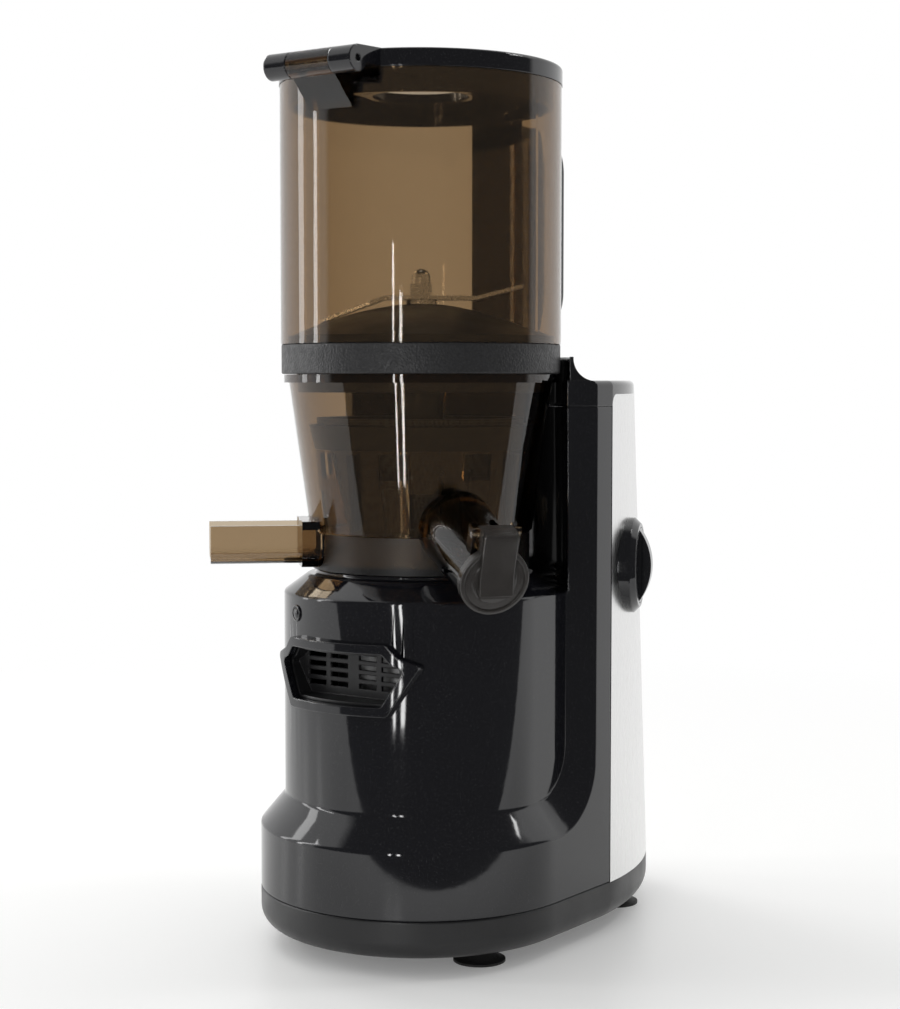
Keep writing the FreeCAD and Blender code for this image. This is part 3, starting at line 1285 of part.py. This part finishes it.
NODES = {
    "suction_feet": suction_feet,
    "base_plate": base_plate,
    "base_screws": base_screws,
    "motor_housing": motor_housing,
    "tower_cap": tower_cap,
    "rear_panel": rear_panel,
    "vent_frame": vent_frame,
    "vent_tub": vent_tub,
    "switch_bezel": switch_bezel,
    "switch_body": switch_body,
    "selector_knob": selector_knob,
    "cord_gland": cord_gland,
    "motor_can": motor_can,
    "motor_stator": motor_stator,
    "motor_bearings": motor_bearings,
    "motor_rotor": motor_rotor,
    "motor_fan": motor_fan,
    "gearbox_ring": gearbox_ring,
    "gearbox_cover": gearbox_cover,
    "output_bearing": output_bearing,
    "shaft_seal": shaft_seal,
    "planet_carrier": planet_carrier,
    "juice_bowl": juice_bowl,
    "spout_tube": spout_tube,
    "pulp_chute": pulp_chute,
    "bowl_gasket": bowl_gasket,
    "strainer": strainer,
    "brush_gear": brush_gear,
    "brush_cage": brush_cage,
    "brush_ring": brush_ring,
    "wiper_blades": wiper_blades,
    "auger": auger,
    "juice_cap": juice_cap,
    "cap_seal": cap_seal,
    "cap_pin": cap_pin,
    "hopper_collar": hopper_collar,
    "hopper_wall": hopper_wall,
    "hopper_floor": hopper_floor,
    "floor_bush": floor_bush,
    "hopper_handle": hopper_handle,
    "hinge_pin": hinge_pin,
    "feed_blade": feed_blade,
    "blade_spindle": blade_spindle,
    "blade_nut": blade_nut,
    "lid": lid,
}


def main():
    os.makedirs("parts", exist_ok=True)
    shapes = {name: make() for name, make in NODES.items()}
    for number, angle in enumerate(planet_angles(), 1):
        shapes["planet_gear_%d" % number] = planet_gear(angle)
    for name, shape in shapes.items():
        shape = shape.copy()
        shape.translate(V(AXIS_X, AXIS_Y, 0))
        shape.exportStep("parts/%s.step" % name)


main()
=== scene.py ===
import json
import math

import bpy
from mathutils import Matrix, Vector


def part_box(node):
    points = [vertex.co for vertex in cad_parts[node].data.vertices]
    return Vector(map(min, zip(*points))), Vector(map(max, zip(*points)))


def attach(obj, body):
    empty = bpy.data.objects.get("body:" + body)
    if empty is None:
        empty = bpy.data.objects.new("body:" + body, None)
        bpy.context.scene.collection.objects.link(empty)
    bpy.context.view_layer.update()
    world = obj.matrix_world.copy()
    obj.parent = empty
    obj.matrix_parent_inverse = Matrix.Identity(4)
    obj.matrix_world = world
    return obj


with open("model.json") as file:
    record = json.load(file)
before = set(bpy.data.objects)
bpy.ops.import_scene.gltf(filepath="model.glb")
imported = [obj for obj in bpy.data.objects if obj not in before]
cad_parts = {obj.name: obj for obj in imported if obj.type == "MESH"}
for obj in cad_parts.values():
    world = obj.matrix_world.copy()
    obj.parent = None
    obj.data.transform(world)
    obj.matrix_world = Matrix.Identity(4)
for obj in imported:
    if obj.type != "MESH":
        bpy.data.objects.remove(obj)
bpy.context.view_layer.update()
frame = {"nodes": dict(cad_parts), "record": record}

# Lengths are in metres and angles in degrees. Azimuths run from the front (-Y) towards +X.

# camera, at the photograph's viewing angle
CAMERA_PLACE = (0.6003, -0.8480, 0.2871)
CAMERA_AZIMUTH = 36.0
CAMERA_PITCH = 3.61
CAMERA_SENSOR = 36.0
CAMERA_LENS = 70.26

# studio
WHITE = (1, 1, 1, 1)
FLOOR_HALF = 4.0
TABLE_FRONT = 0.27        # the table ends here on the side of the dim room
FLOOR_COLOR = (0.86, 0.86, 0.85)
FLOOR_ROUGH = 0.4
FLOOR_IOR = 1.4
FLOOR_GLOW = 0.16
FADE_NEAR = 0.30          # the table turns plain white between these distances from the middle
FADE_FAR = 1.0
FRONT_FADE = 0.16         # and from here to its front end
ROOM_AZIMUTH = 46.0       # the dim side of the studio faces this way
ROOM_LEVEL = 0.42         # as light on the object
ROOM_MIRRORED = 0.12      # as seen in polished surfaces
WALL_LEVEL = 1.0
ROOM_FROM = -0.05         # the wall gives way to the room between these cosines
ROOM_FULL = 0.04
AIM_HEIGHT = 0.22

# name, azimuth, distance, height above the table, width, height, radiance
SOFTBOXES = [
    ("rear_softbox", 137.0, 1.06, 1.28, 0.30, 0.30, 9.0),
    ("left_window", -54.0, 1.2, 0.55, 0.10, 0.9, 6.0),
    ("left_curtain", -72.0, 1.2, 0.55, 0.16, 0.9, 3.0),
    ("left_softbox", -103.0, 1.2, 1.12, 0.5, 0.4, 6.0),
    ("front_strip_left", 14.5, 0.80, 0.20, 0.020, 0.40, 15.0),
    ("front_strip_right", 20.0, 0.80, 0.18, 0.028, 0.36, 15.0),
]

# finishes
MOULD_EDGE = 0.001        # edges softened in the finish of the dark mouldings
FINE_EDGE = 0.0003        # and of steel and the plain finishes
EDGE_SAMPLES = 6
PLASTIC_IOR = 1.5
POLISHED_IOR = 1.6
SMOKE_COLOR = (0.53, 0.39, 0.17, 1)
SMOKE_DENSITY = 520.0
BAND_HEIGHT = 0.0185      # frosted foot band of the bowl
BAND_FADE = 0.0008
BAND_FROST = 0.42
NOISE_LOW = 0.3           # most of a noise lies between these
NOISE_HIGH = 0.7
ROUGH_LEAST = 0.8         # a plain finish varies by these factors
ROUGH_MOST = 1.2
SHADE_DARK = 0.86
SHADE_LIGHT = 1.1

# juice cap, drawn in its own plane with Y up and Z out along the spout
SPOUT_OUT = Vector((0.7647, -0.5355, -0.3584))
CAP_MIDDLE = Vector((0.08498, -0.10241, 0.19307))   # of its outer face
CAP_FACE_R = 0.0168
CAP_FACE_T = 0.0022
CAP_FACE_BACK = 0.0027    # the disc lies behind the tongue
CAP_FACE_STEPS = [(0.0020, 0), (0.0003, -0.0010), (0.0034, 0), (0.0003, 0.0007)]  # inset, rise
CAP_FACE_RADIUS = 0.0003
TONGUE_W = 0.0166
TONGUE_T = 0.0026
TONGUE_TOP = 0.0225
TONGUE_RISE = 0.0005
TONGUE_STEPS = [          # down, out
    (0.0050, 0.0), (0.0070, 0.0001), (0.0060, 0.0002), (0.0040, 0.0006), (0.0028, 0.0009), (0.0016, 0.0010),
]
TONGUE_RADIUS = 0.0006

# domed mark on the column
DOT_SIGHT = Vector((-0.0560, -0.1475, 0.1712))   # outside the column, straight before the mark
DOT_OUT = Vector((-0.413, -0.911, 0))
DOT_R = 0.0042
DOT_T = 0.0016
DOT_STEPS = [(0.0008, 0), (0.0002, -0.0005), (0.0005, 0), (0.0005, 0.0006), (0.0009, 0.0003)]  # inset, rise
DOT_RADIUS = 0.0002

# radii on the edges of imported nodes
EDGE_RADII = {"hopper_handle": 0.0012, "hopper_collar": 0.0008, "base_plate": 0.0008, "motor_housing": 0.0010}
VENT_RADIUS = 0.0012
EDGE_ANGLE = 35.0
RADIUS_SEGMENTS = 3
WELD_REACH = 0.00001

DISC_SIDES = 72
FACING = 0.9              # a face looks along an axis from this cosine on
SMOOTH_ANGLE = 40.0


def toward(azimuth):
    """Level unit vector from the object towards a direction of the studio."""
    a = math.radians(azimuth)
    return Vector((math.sin(a), -math.cos(a), 0))


# Node helpers

def put(tree, kind, **inputs):
    """Adds a shader node and sets its unlinked sockets by name."""
    node = tree.nodes.new("ShaderNode" + kind)
    for name, value in inputs.items():
        node.inputs[name.replace("_", " ")].default_value = value
    return node


def join(tree, source, target):
    tree.links.new(source, target)


def worked_out(tree, operation, first, second):
    """Output of a Math node; the second operand is a socket or a number."""
    node = put(tree, "Math")
    node.operation = operation
    join(tree, first, node.inputs[0])
    if isinstance(second, float):
        node.inputs[1].default_value = second
    else:
        join(tree, second, node.inputs[1])
    return node.outputs["Value"]


def along(tree, vector, direction):
    """How far a vector reaches along a fixed direction."""
    node = put(tree, "VectorMath")
    node.operation = "DOT_PRODUCT"
    node.inputs[1].default_value = direction
    join(tree, vector, node.inputs[0])
    return node.outputs["Value"]


def finish_of(name, color, roughness, **sockets):
    """A finish with its constant sockets set on the shader itself."""
    finish = bpy.data.materials.new(name)
    finish.use_nodes = True
    shader = finish.node_tree.nodes["Principled BSDF"]
    shader.inputs["Base Color"].default_value = (*color, 1)
    shader.inputs["Roughness"].default_value = roughness
    for socket, value in sockets.items():
        shader.inputs[socket.replace("_", " ")].default_value = value
    return finish, finish.node_tree, shader


def object_place(tree):
    return put(tree, "TexCoord").outputs["Object"]


def object_noise(tree, scale, detail=2.0, stretch=(1, 1, 1)):
    mapping = put(tree, "Mapping", Scale=stretch)
    noise = put(tree, "TexNoise", Scale=scale, Detail=detail)
    join(tree, object_place(tree), mapping.inputs["Vector"])
    join(tree, mapping.outputs["Vector"], noise.inputs["Vector"])
    return noise.outputs["Fac"]


def object_cells(tree, scale, randomness, feature="F1"):
    cells = put(tree, "TexVoronoi", Scale=scale, Randomness=randomness)
    cells.feature = feature
    join(tree, object_place(tree), cells.inputs["Vector"])
    return cells.outputs["Distance"]


def spread(tree, factor, low, high, start=NOISE_LOW, stop=NOISE_HIGH):
    """Maps a value between start and stop onto a range."""
    ramp = put(tree, "MapRange", From_Min=start, From_Max=stop, To_Min=low, To_Max=high)
    join(tree, factor, ramp.inputs["Value"])
    return ramp.outputs["Result"]


def tinted(tree, shader, factor, dark, light):
    """Base colour between two shades; a colour Mix has its colours on sockets 6 and 7 and output 2."""
    mix = put(tree, "Mix")
    mix.data_type = "RGBA"
    mix.inputs[6].default_value = (*dark, 1)
    mix.inputs[7].default_value = (*light, 1)
    join(tree, factor, mix.inputs[0])
    join(tree, mix.outputs[2], shader.inputs["Base Color"])


def relief(tree, shader, height, depth, strength, edge=None):
    """Bump of a depth over edges that are softened by a radius."""
    bump = put(tree, "Bump", Strength=strength, Distance=depth)
    join(tree, height, bump.inputs["Height"])
    if edge:
        soft = put(tree, "Bevel", Radius=edge)
        soft.samples = EDGE_SAMPLES
        join(tree, soft.outputs["Normal"], bump.inputs["Normal"])
    join(tree, bump.outputs["Normal"], shader.inputs["Normal"])


# Finishes, one for each slot of the record

def gloss_black():
    """Polished black moulding: faint ripple, small changes of gloss and a little dust."""
    finish, tree, shader = finish_of("gloss_black", (0.006, 0.006, 0.008), 0.06, IOR=POLISHED_IOR)
    wear = object_noise(tree, scale=45.0, detail=6.0)
    dust = object_noise(tree, scale=2600.0, detail=0.0)
    ripple = object_noise(tree, scale=160.0, detail=1.0)
    join(tree, spread(tree, wear, low=0.035, high=0.085), shader.inputs["Roughness"])
    tinted(tree, shader, spread(tree, dust, low=0.0, high=1.0, start=0.74, stop=0.80),
           dark=(0.006, 0.0062, 0.0085), light=(0.05, 0.05, 0.052))
    relief(tree, shader, ripple, depth=0.00002, strength=0.5, edge=MOULD_EDGE)
    return finish


def satin_black():
    """Spark-eroded black moulding with a fine even grain."""
    finish, tree, shader = finish_of("satin_black", (0.012, 0.012, 0.013), 0.4, IOR=PLASTIC_IOR)
    wear = object_noise(tree, scale=60.0, detail=5.0)
    mottle = object_noise(tree, scale=900.0, detail=3.0)
    grain = object_noise(tree, scale=2200.0, detail=2.0)
    join(tree, spread(tree, wear, low=0.3, high=0.44), shader.inputs["Roughness"])
    tinted(tree, shader, mottle, dark=(0.009, 0.009, 0.010), light=(0.016, 0.016, 0.017))
    relief(tree, shader, grain, depth=0.00004, strength=0.5, edge=MOULD_EDGE)
    return finish


def grained_grey():
    """Dark grey moulding with a leather grain, its raised grains painted lighter and its crevices painted
    darker as shade.
    """
    finish, tree, shader = finish_of("grained_grey", (0.03, 0.03, 0.031), 0.5, IOR=PLASTIC_IOR)
    cells = object_cells(tree, scale=950.0, randomness=1.0, feature="SMOOTH_F1")
    wear = object_noise(tree, scale=300.0, detail=3.0)
    # painted shade: the colour is lighter on the raised grains and darker in the crevices between them
    tinted(tree, shader, cells, dark=(0.038, 0.038, 0.040), light=(0.018, 0.018, 0.019))
    join(tree, spread(tree, wear, low=0.38, high=0.58), shader.inputs["Roughness"])
    grain = spread(tree, cells, low=1.0, high=0.0, start=0.0, stop=0.8)
    relief(tree, shader, grain, depth=0.00022, strength=0.9, edge=MOULD_EDGE)
    return finish


def smoke_blank(name):
    """Smoky brown moulding before its surface, with the noise of its gloss."""
    finish, tree, shader = finish_of(name, (1, 1, 1), 0.02, IOR=PLASTIC_IOR, Transmission_Weight=1.0)
    tone = put(tree, "VolumeAbsorption", Color=SMOKE_COLOR, Density=SMOKE_DENSITY)
    join(tree, tone.outputs["Volume"], tree.nodes["Material Output"].inputs["Volume"])
    gloss = spread(tree, object_noise(tree, scale=35.0, detail=4.0), low=0.012, high=0.05)
    return finish, tree, shader, gloss


def smoke_clear():
    """Clear smoky moulding with the faint ripple of its mould."""
    finish, tree, shader, gloss = smoke_blank("smoke_clear")
    join(tree, gloss, shader.inputs["Roughness"])
    relief(tree, shader, object_noise(tree, scale=70.0, detail=1.0), depth=0.00003, strength=0.5)
    return finish


def smoke_frosted_foot(band_top):
    """Clear smoky moulding with a frosted grain up to a height."""
    finish, tree, shader, gloss = smoke_blank("smoke_clear_frosted_foot")
    split = put(tree, "SeparateXYZ")
    join(tree, object_place(tree), split.inputs["Vector"])
    band = spread(tree, split.outputs["Z"], low=1.0, high=0.0,
                  start=band_top - BAND_FADE, stop=band_top + BAND_FADE)
    frost = worked_out(tree, "MULTIPLY", band, BAND_FROST)
    join(tree, worked_out(tree, "ADD", frost, gloss), shader.inputs["Roughness"])
    grain = worked_out(tree, "MULTIPLY", object_noise(tree, scale=1500.0, detail=2.0), band)
    relief(tree, shader, grain, depth=0.00012, strength=0.8)
    return finish


def smoke_clouded():
    """Smoky moulding of the juice cap, clouded by fine wear on both faces."""
    finish, tree, shader = finish_of("smoke_clear_clouded", (0.06, 0.055, 0.051), 0.24, IOR=PLASTIC_IOR,
                                     Transmission_Weight=0.35)
    wear = object_noise(tree, scale=120.0, detail=4.0)
    cloud = object_noise(tree, scale=120.0, detail=5.0)
    grain = object_noise(tree, scale=900.0, detail=1.0)
    join(tree, spread(tree, wear, low=0.12, high=0.22), shader.inputs["Roughness"])
    tinted(tree, shader, cloud, dark=(0.045, 0.041, 0.038), light=(0.085, 0.078, 0.073))
    relief(tree, shader, grain, depth=0.00002, strength=0.2)
    return finish


def brushed_panel():
    """Satin stainless sheet with upright hairlines."""
    finish, tree, shader = finish_of("brushed_panel", (0.78, 0.78, 0.775), 0.3, Metallic=1.0)
    hairs = object_noise(tree, scale=2400.0, detail=2.0, stretch=(1, 1, 0.012))
    join(tree, spread(tree, hairs, low=0.22, high=0.36), shader.inputs["Roughness"])
    tinted(tree, shader, hairs, dark=(0.73, 0.73, 0.725), light=(0.83, 0.83, 0.825))
    relief(tree, shader, hairs, depth=0.00001, strength=0.35)
    return finish


def steel():
    """Ground stainless steel."""
    finish, tree, shader = finish_of("steel", (0.62, 0.62, 0.62), 0.24, Metallic=1.0)
    marks = object_noise(tree, scale=700.0, detail=4.0, stretch=(0.15, 1, 1))
    join(tree, spread(tree, marks, low=0.16, high=0.34), shader.inputs["Roughness"])
    tinted(tree, shader, marks, dark=(0.52, 0.52, 0.525), light=(0.68, 0.68, 0.675))
    relief(tree, shader, marks, depth=0.00002, strength=0.4, edge=FINE_EDGE)
    return finish


def strainer_mesh():
    """Dark moulded basket with a finely dimpled screen; each dimple is painted darker towards its middle as
    shade.
    """
    finish, tree, shader = finish_of("strainer_mesh", (0.03, 0.03, 0.03), 0.45)
    dimple_depth_and_shade = object_cells(tree, scale=620.0, randomness=0.15)
    # painted shade: the screen is darker towards the middle of each dimple, where it is sunk deepest
    tinted(tree, shader, spread(tree, dimple_depth_and_shade, low=0.0, high=1.0, start=0.2, stop=0.5),
           dark=(0.008, 0.008, 0.008), light=(0.05, 0.05, 0.049))
    relief(tree, shader, dimple_depth_and_shade, depth=0.0002, strength=0.8)
    return finish


def shaded(color, factor):
    return tuple(min(1.0, c * factor) for c in color)


def plain_finish(name, color, rough, grain, metallic=0.0):
    """Pieces inside and underneath: a fine grain with small changes of colour and gloss."""
    finish, tree, shader = finish_of(name, color, rough, Metallic=metallic)
    noise = object_noise(tree, scale=grain, detail=4.0)
    gloss = spread(tree, noise, low=rough * ROUGH_LEAST, high=rough * ROUGH_MOST)
    join(tree, gloss, shader.inputs["Roughness"])
    tinted(tree, shader, noise, dark=shaded(color, SHADE_DARK), light=shaded(color, SHADE_LIGHT))
    relief(tree, shader, noise, depth=0.00003, strength=0.5, edge=FINE_EDGE)
    return finish


def slot_finishes():
    return {
        "gloss_black": gloss_black(),
        "satin_black": satin_black(),
        "grained_grey": grained_grey(),
        "smoke_clear": smoke_clear(),
        "brushed_panel": brushed_panel(),
        "steel": steel(),
        "strainer_mesh": strainer_mesh(),
        "auger_resin": plain_finish("auger_resin", (0.028, 0.028, 0.03), rough=0.38, grain=900.0),
        "white_nylon": plain_finish("white_nylon", (0.78, 0.77, 0.74), rough=0.42, grain=700.0),
        "motor_iron": plain_finish("motor_iron", (0.16, 0.16, 0.175), rough=0.5, grain=500.0),
        "cast_case": plain_finish("cast_case", (0.5, 0.5, 0.5), rough=0.42, grain=1100.0, metallic=1.0),
        "bush_brass": plain_finish("bush_brass", (0.68, 0.5, 0.22), rough=0.3, grain=800.0, metallic=1.0),
        "rubber": plain_finish("rubber", (0.016, 0.016, 0.016), rough=0.62, grain=1400.0),
    }


def dress(node, finish):
    frame["nodes"][node].material_slots[0].material = finish


def dress_nodes(finishes, cap_finish):
    """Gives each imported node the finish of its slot; bowl and cap have their own kinds of it."""
    for row in frame["record"]["subparts"]:
        dress(row["node"], finishes[row["material_slot"]])
    bowl_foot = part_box("juice_bowl")[0].z
    dress("juice_bowl", smoke_frosted_foot(bowl_foot + BAND_HEIGHT))
    dress("juice_cap", cap_finish)


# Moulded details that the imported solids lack

def pick_faces(piece, axis, sign):
    """Goes to edit mode with only the faces selected that look along an axis."""
    bpy.ops.object.mode_set(mode="EDIT")
    bpy.ops.mesh.select_mode(type="FACE")
    bpy.ops.mesh.select_all(action="DESELECT")
    bpy.ops.object.mode_set(mode="OBJECT")
    for face in piece.data.polygons:
        face.select = face.normal[axis] * sign > FACING
    bpy.ops.object.mode_set(mode="EDIT")


def stepped_disc(radius, thickness, steps):
    """A disc whose outer face is inset and raised or sunk, step by step, towards its middle."""
    bpy.ops.object.select_all(action="DESELECT")
    bpy.ops.mesh.primitive_cylinder_add(vertices=DISC_SIDES, radius=radius, depth=thickness)
    disc = bpy.context.active_object
    pick_faces(disc, axis=2, sign=1)
    for inset, rise in steps:
        bpy.ops.mesh.inset(thickness=inset, depth=rise)
    bpy.ops.object.mode_set(mode="OBJECT")
    return disc


def bevel_and_place(piece, radius, place, normal):
    """Rounds a new piece and turns its Z to the normal at its place."""
    bevel = piece.modifiers.new("radius", "BEVEL")
    bevel.width = radius
    bevel.segments = RADIUS_SEGMENTS
    bevel.limit_method = "ANGLE"
    bpy.ops.object.modifier_apply(modifier=bevel.name)
    piece.location = place
    piece.rotation_euler = normal.to_track_quat("Z", "Y").to_euler()


def settle(piece, name, body, finish):
    """Moves a piece's place into its mesh, gives it its finish and puts it on its body."""
    bpy.ops.object.transform_apply(location=True, rotation=True, scale=True)
    bpy.ops.object.shade_smooth_by_angle(angle=math.radians(SMOOTH_ANGLE))
    piece.name = name
    piece.data.name = name
    piece.data.materials.clear()
    piece.data.materials.append(finish)
    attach(piece, body)


def make_cap_face(finish):
    """Outer face of the juice cap: a rounded rim, a sunk ring and a raised middle."""
    face = stepped_disc(CAP_FACE_R, CAP_FACE_T, CAP_FACE_STEPS)
    bevel_and_place(face, CAP_FACE_RADIUS, CAP_MIDDLE - SPOUT_OUT * CAP_FACE_BACK, SPOUT_OUT)
    settle(face, "cap_face", "cap", finish)


def make_cap_tongue(finish):
    """Finger tongue of the juice cap, drawn down from its hinge and curled out at the end."""
    bpy.ops.object.select_all(action="DESELECT")
    bpy.ops.mesh.primitive_cube_add(size=1.0)
    tongue = bpy.context.active_object
    bpy.ops.object.mode_set(mode="EDIT")
    bpy.ops.transform.resize(value=(TONGUE_W, TONGUE_T, TONGUE_T))
    bpy.ops.transform.translate(value=(0, TONGUE_TOP, TONGUE_RISE - TONGUE_T / 2))
    bpy.ops.object.mode_set(mode="OBJECT")
    pick_faces(tongue, axis=1, sign=-1)
    for down, out in TONGUE_STEPS:
        bpy.ops.mesh.extrude_region_move(TRANSFORM_OT_translate={"value": (0, -down, out)})
    bpy.ops.object.mode_set(mode="OBJECT")
    bevel_and_place(tongue, TONGUE_RADIUS, CAP_MIDDLE, SPOUT_OUT)
    settle(tongue, "cap_tongue", "cap", finish)


def make_lock_dot(finish):
    """Domed mark in a sunk ring on the column, above the vent's left end."""
    column = frame["nodes"]["motor_housing"]
    place, normal = column.ray_cast(DOT_SIGHT, -DOT_OUT.normalized())[1:3]
    dot = stepped_disc(DOT_R, DOT_T, DOT_STEPS)
    bevel_and_place(dot, DOT_RADIUS, place, normal)
    settle(dot, "lock_dot", "base", finish)


def round_edges(node, radius, held=False):
    """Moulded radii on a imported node's edges, as modifiers. Held radii shrink where an edge is short."""
    piece = frame["nodes"][node]
    weld = piece.modifiers.new("weld", "WELD")
    weld.merge_threshold = WELD_REACH
    bevel = piece.modifiers.new("radius", "BEVEL")
    bevel.width = radius
    bevel.segments = RADIUS_SEGMENTS
    bevel.limit_method = "ANGLE"
    bevel.angle_limit = math.radians(EDGE_ANGLE)
    bevel.use_clamp_overlap = held
    shading = piece.modifiers.new("shading", "WEIGHTED_NORMAL")
    shading.keep_sharp = False


# Studio

def ray_is(tree, *kinds):
    """One where the ray is of any of these kinds."""
    path = put(tree, "LightPath")
    total = path.outputs[kinds[0]]
    for kind in kinds[1:]:
        total = worked_out(tree, "MAXIMUM", total, path.outputs[kind])
    return total


def floor_finish():
    """White table that keeps the shadow and turns plain white away from the object."""
    finish, tree, shader = finish_of("floor_white", FLOOR_COLOR, FLOOR_ROUGH, IOR=FLOOR_IOR,
                                     Emission_Color=WHITE)
    seen = ray_is(tree, "Is Camera Ray", "Is Glossy Ray", "Is Transmission Ray")
    join(tree, worked_out(tree, "MULTIPLY", seen, FLOOR_GLOW), shader.inputs["Emission Strength"])
    place = put(tree, "NewGeometry").outputs["Position"]
    reach = put(tree, "VectorMath")
    reach.operation = "LENGTH"
    join(tree, place, reach.inputs[0])
    far = spread(tree, reach.outputs["Value"], low=0.0, high=1.0, start=FADE_NEAR, stop=FADE_FAR)
    forward = along(tree, place, toward(ROOM_AZIMUTH))
    front = spread(tree, forward, low=0.0, high=1.0, start=FRONT_FADE, stop=TABLE_FRONT)
    away = worked_out(tree, "MULTIPLY", worked_out(tree, "MAXIMUM", far, front), seen)
    plain = put(tree, "Emission", Color=WHITE, Strength=1.0)
    fade = put(tree, "MixShader")
    join(tree, away, fade.inputs[0])
    join(tree, shader.outputs["BSDF"], fade.inputs[1])
    join(tree, plain.outputs["Emission"], fade.inputs[2])
    join(tree, fade.outputs["Shader"], tree.nodes["Material Output"].inputs["Surface"])
    return finish


def make_floor():
    middle = toward(ROOM_AZIMUTH) * (TABLE_FRONT - FLOOR_HALF)
    turn = math.radians(ROOM_AZIMUTH - 90.0)
    bpy.ops.object.select_all(action="DESELECT")
    bpy.ops.mesh.primitive_plane_add(size=2 * FLOOR_HALF, location=middle, rotation=(0, 0, turn))
    floor = bpy.context.active_object
    floor.name = "studio_floor"
    floor.data.materials.append(floor_finish())


def make_world():
    """A white wall behind the object and a dimmer room in front of it."""
    world = bpy.data.worlds.new("studio")
    world.use_nodes = True
    bpy.context.scene.world = world
    tree = world.node_tree
    sight = put(tree, "TexCoord").outputs["Generated"]
    facing = along(tree, sight, toward(ROOM_AZIMUTH))
    side = spread(tree, facing, low=0.0, high=1.0, start=ROOM_FROM, stop=ROOM_FULL)
    mirrored = ray_is(tree, "Is Glossy Ray")
    room = spread(tree, mirrored, low=ROOM_LEVEL, high=ROOM_MIRRORED, start=0.0, stop=1.0)
    level = put(tree, "Mix", A=WALL_LEVEL)
    join(tree, side, level.inputs["Factor"])
    join(tree, room, level.inputs["B"])
    white = ray_is(tree, "Is Camera Ray", "Is Transmission Ray")
    background = tree.nodes["Background"]
    background.inputs["Color"].default_value = WHITE
    join(tree, worked_out(tree, "MAXIMUM", level.outputs["Result"], white), background.inputs["Strength"])


def make_softboxes():
    aim = Vector((0, 0, AIM_HEIGHT))
    for name, azimuth, distance, level, width, height, radiance in SOFTBOXES:
        light = bpy.data.lights.new(name, "AREA")
        light.shape = "RECTANGLE"
        light.size = width
        light.size_y = height
        light.energy = radiance * math.pi * width * height
        lamp = bpy.data.objects.new(name, light)
        lamp.location = toward(azimuth) * distance + Vector((0, 0, level))
        lamp.rotation_euler = (aim - lamp.location).to_track_quat("-Z", "Y").to_euler()
        lamp.visible_camera = False
        bpy.context.scene.collection.objects.link(lamp)


def make_camera():
    data = bpy.data.cameras.new("photo_camera")
    data.sensor_width = CAMERA_SENSOR
    data.lens = CAMERA_LENS
    camera = bpy.data.objects.new("photo_camera", data)
    camera.location = CAMERA_PLACE
    camera.rotation_euler = (math.radians(90 - CAMERA_PITCH), 0, math.radians(CAMERA_AZIMUTH))
    bpy.context.scene.collection.objects.link(camera)
    bpy.context.scene.camera = camera


finishes = slot_finishes()
clouded = smoke_clouded()
dress_nodes(finishes, clouded)
make_cap_face(clouded)
make_cap_tongue(clouded)
make_lock_dot(finishes["gloss_black"])
for node, radius in EDGE_RADII.items():
    round_edges(node, radius)
round_edges("vent_frame", VENT_RADIUS, held=True)
make_floor()
make_world()
make_softboxes()
make_camera()
bpy.context.scene.view_settings.view_transform = "Standard"
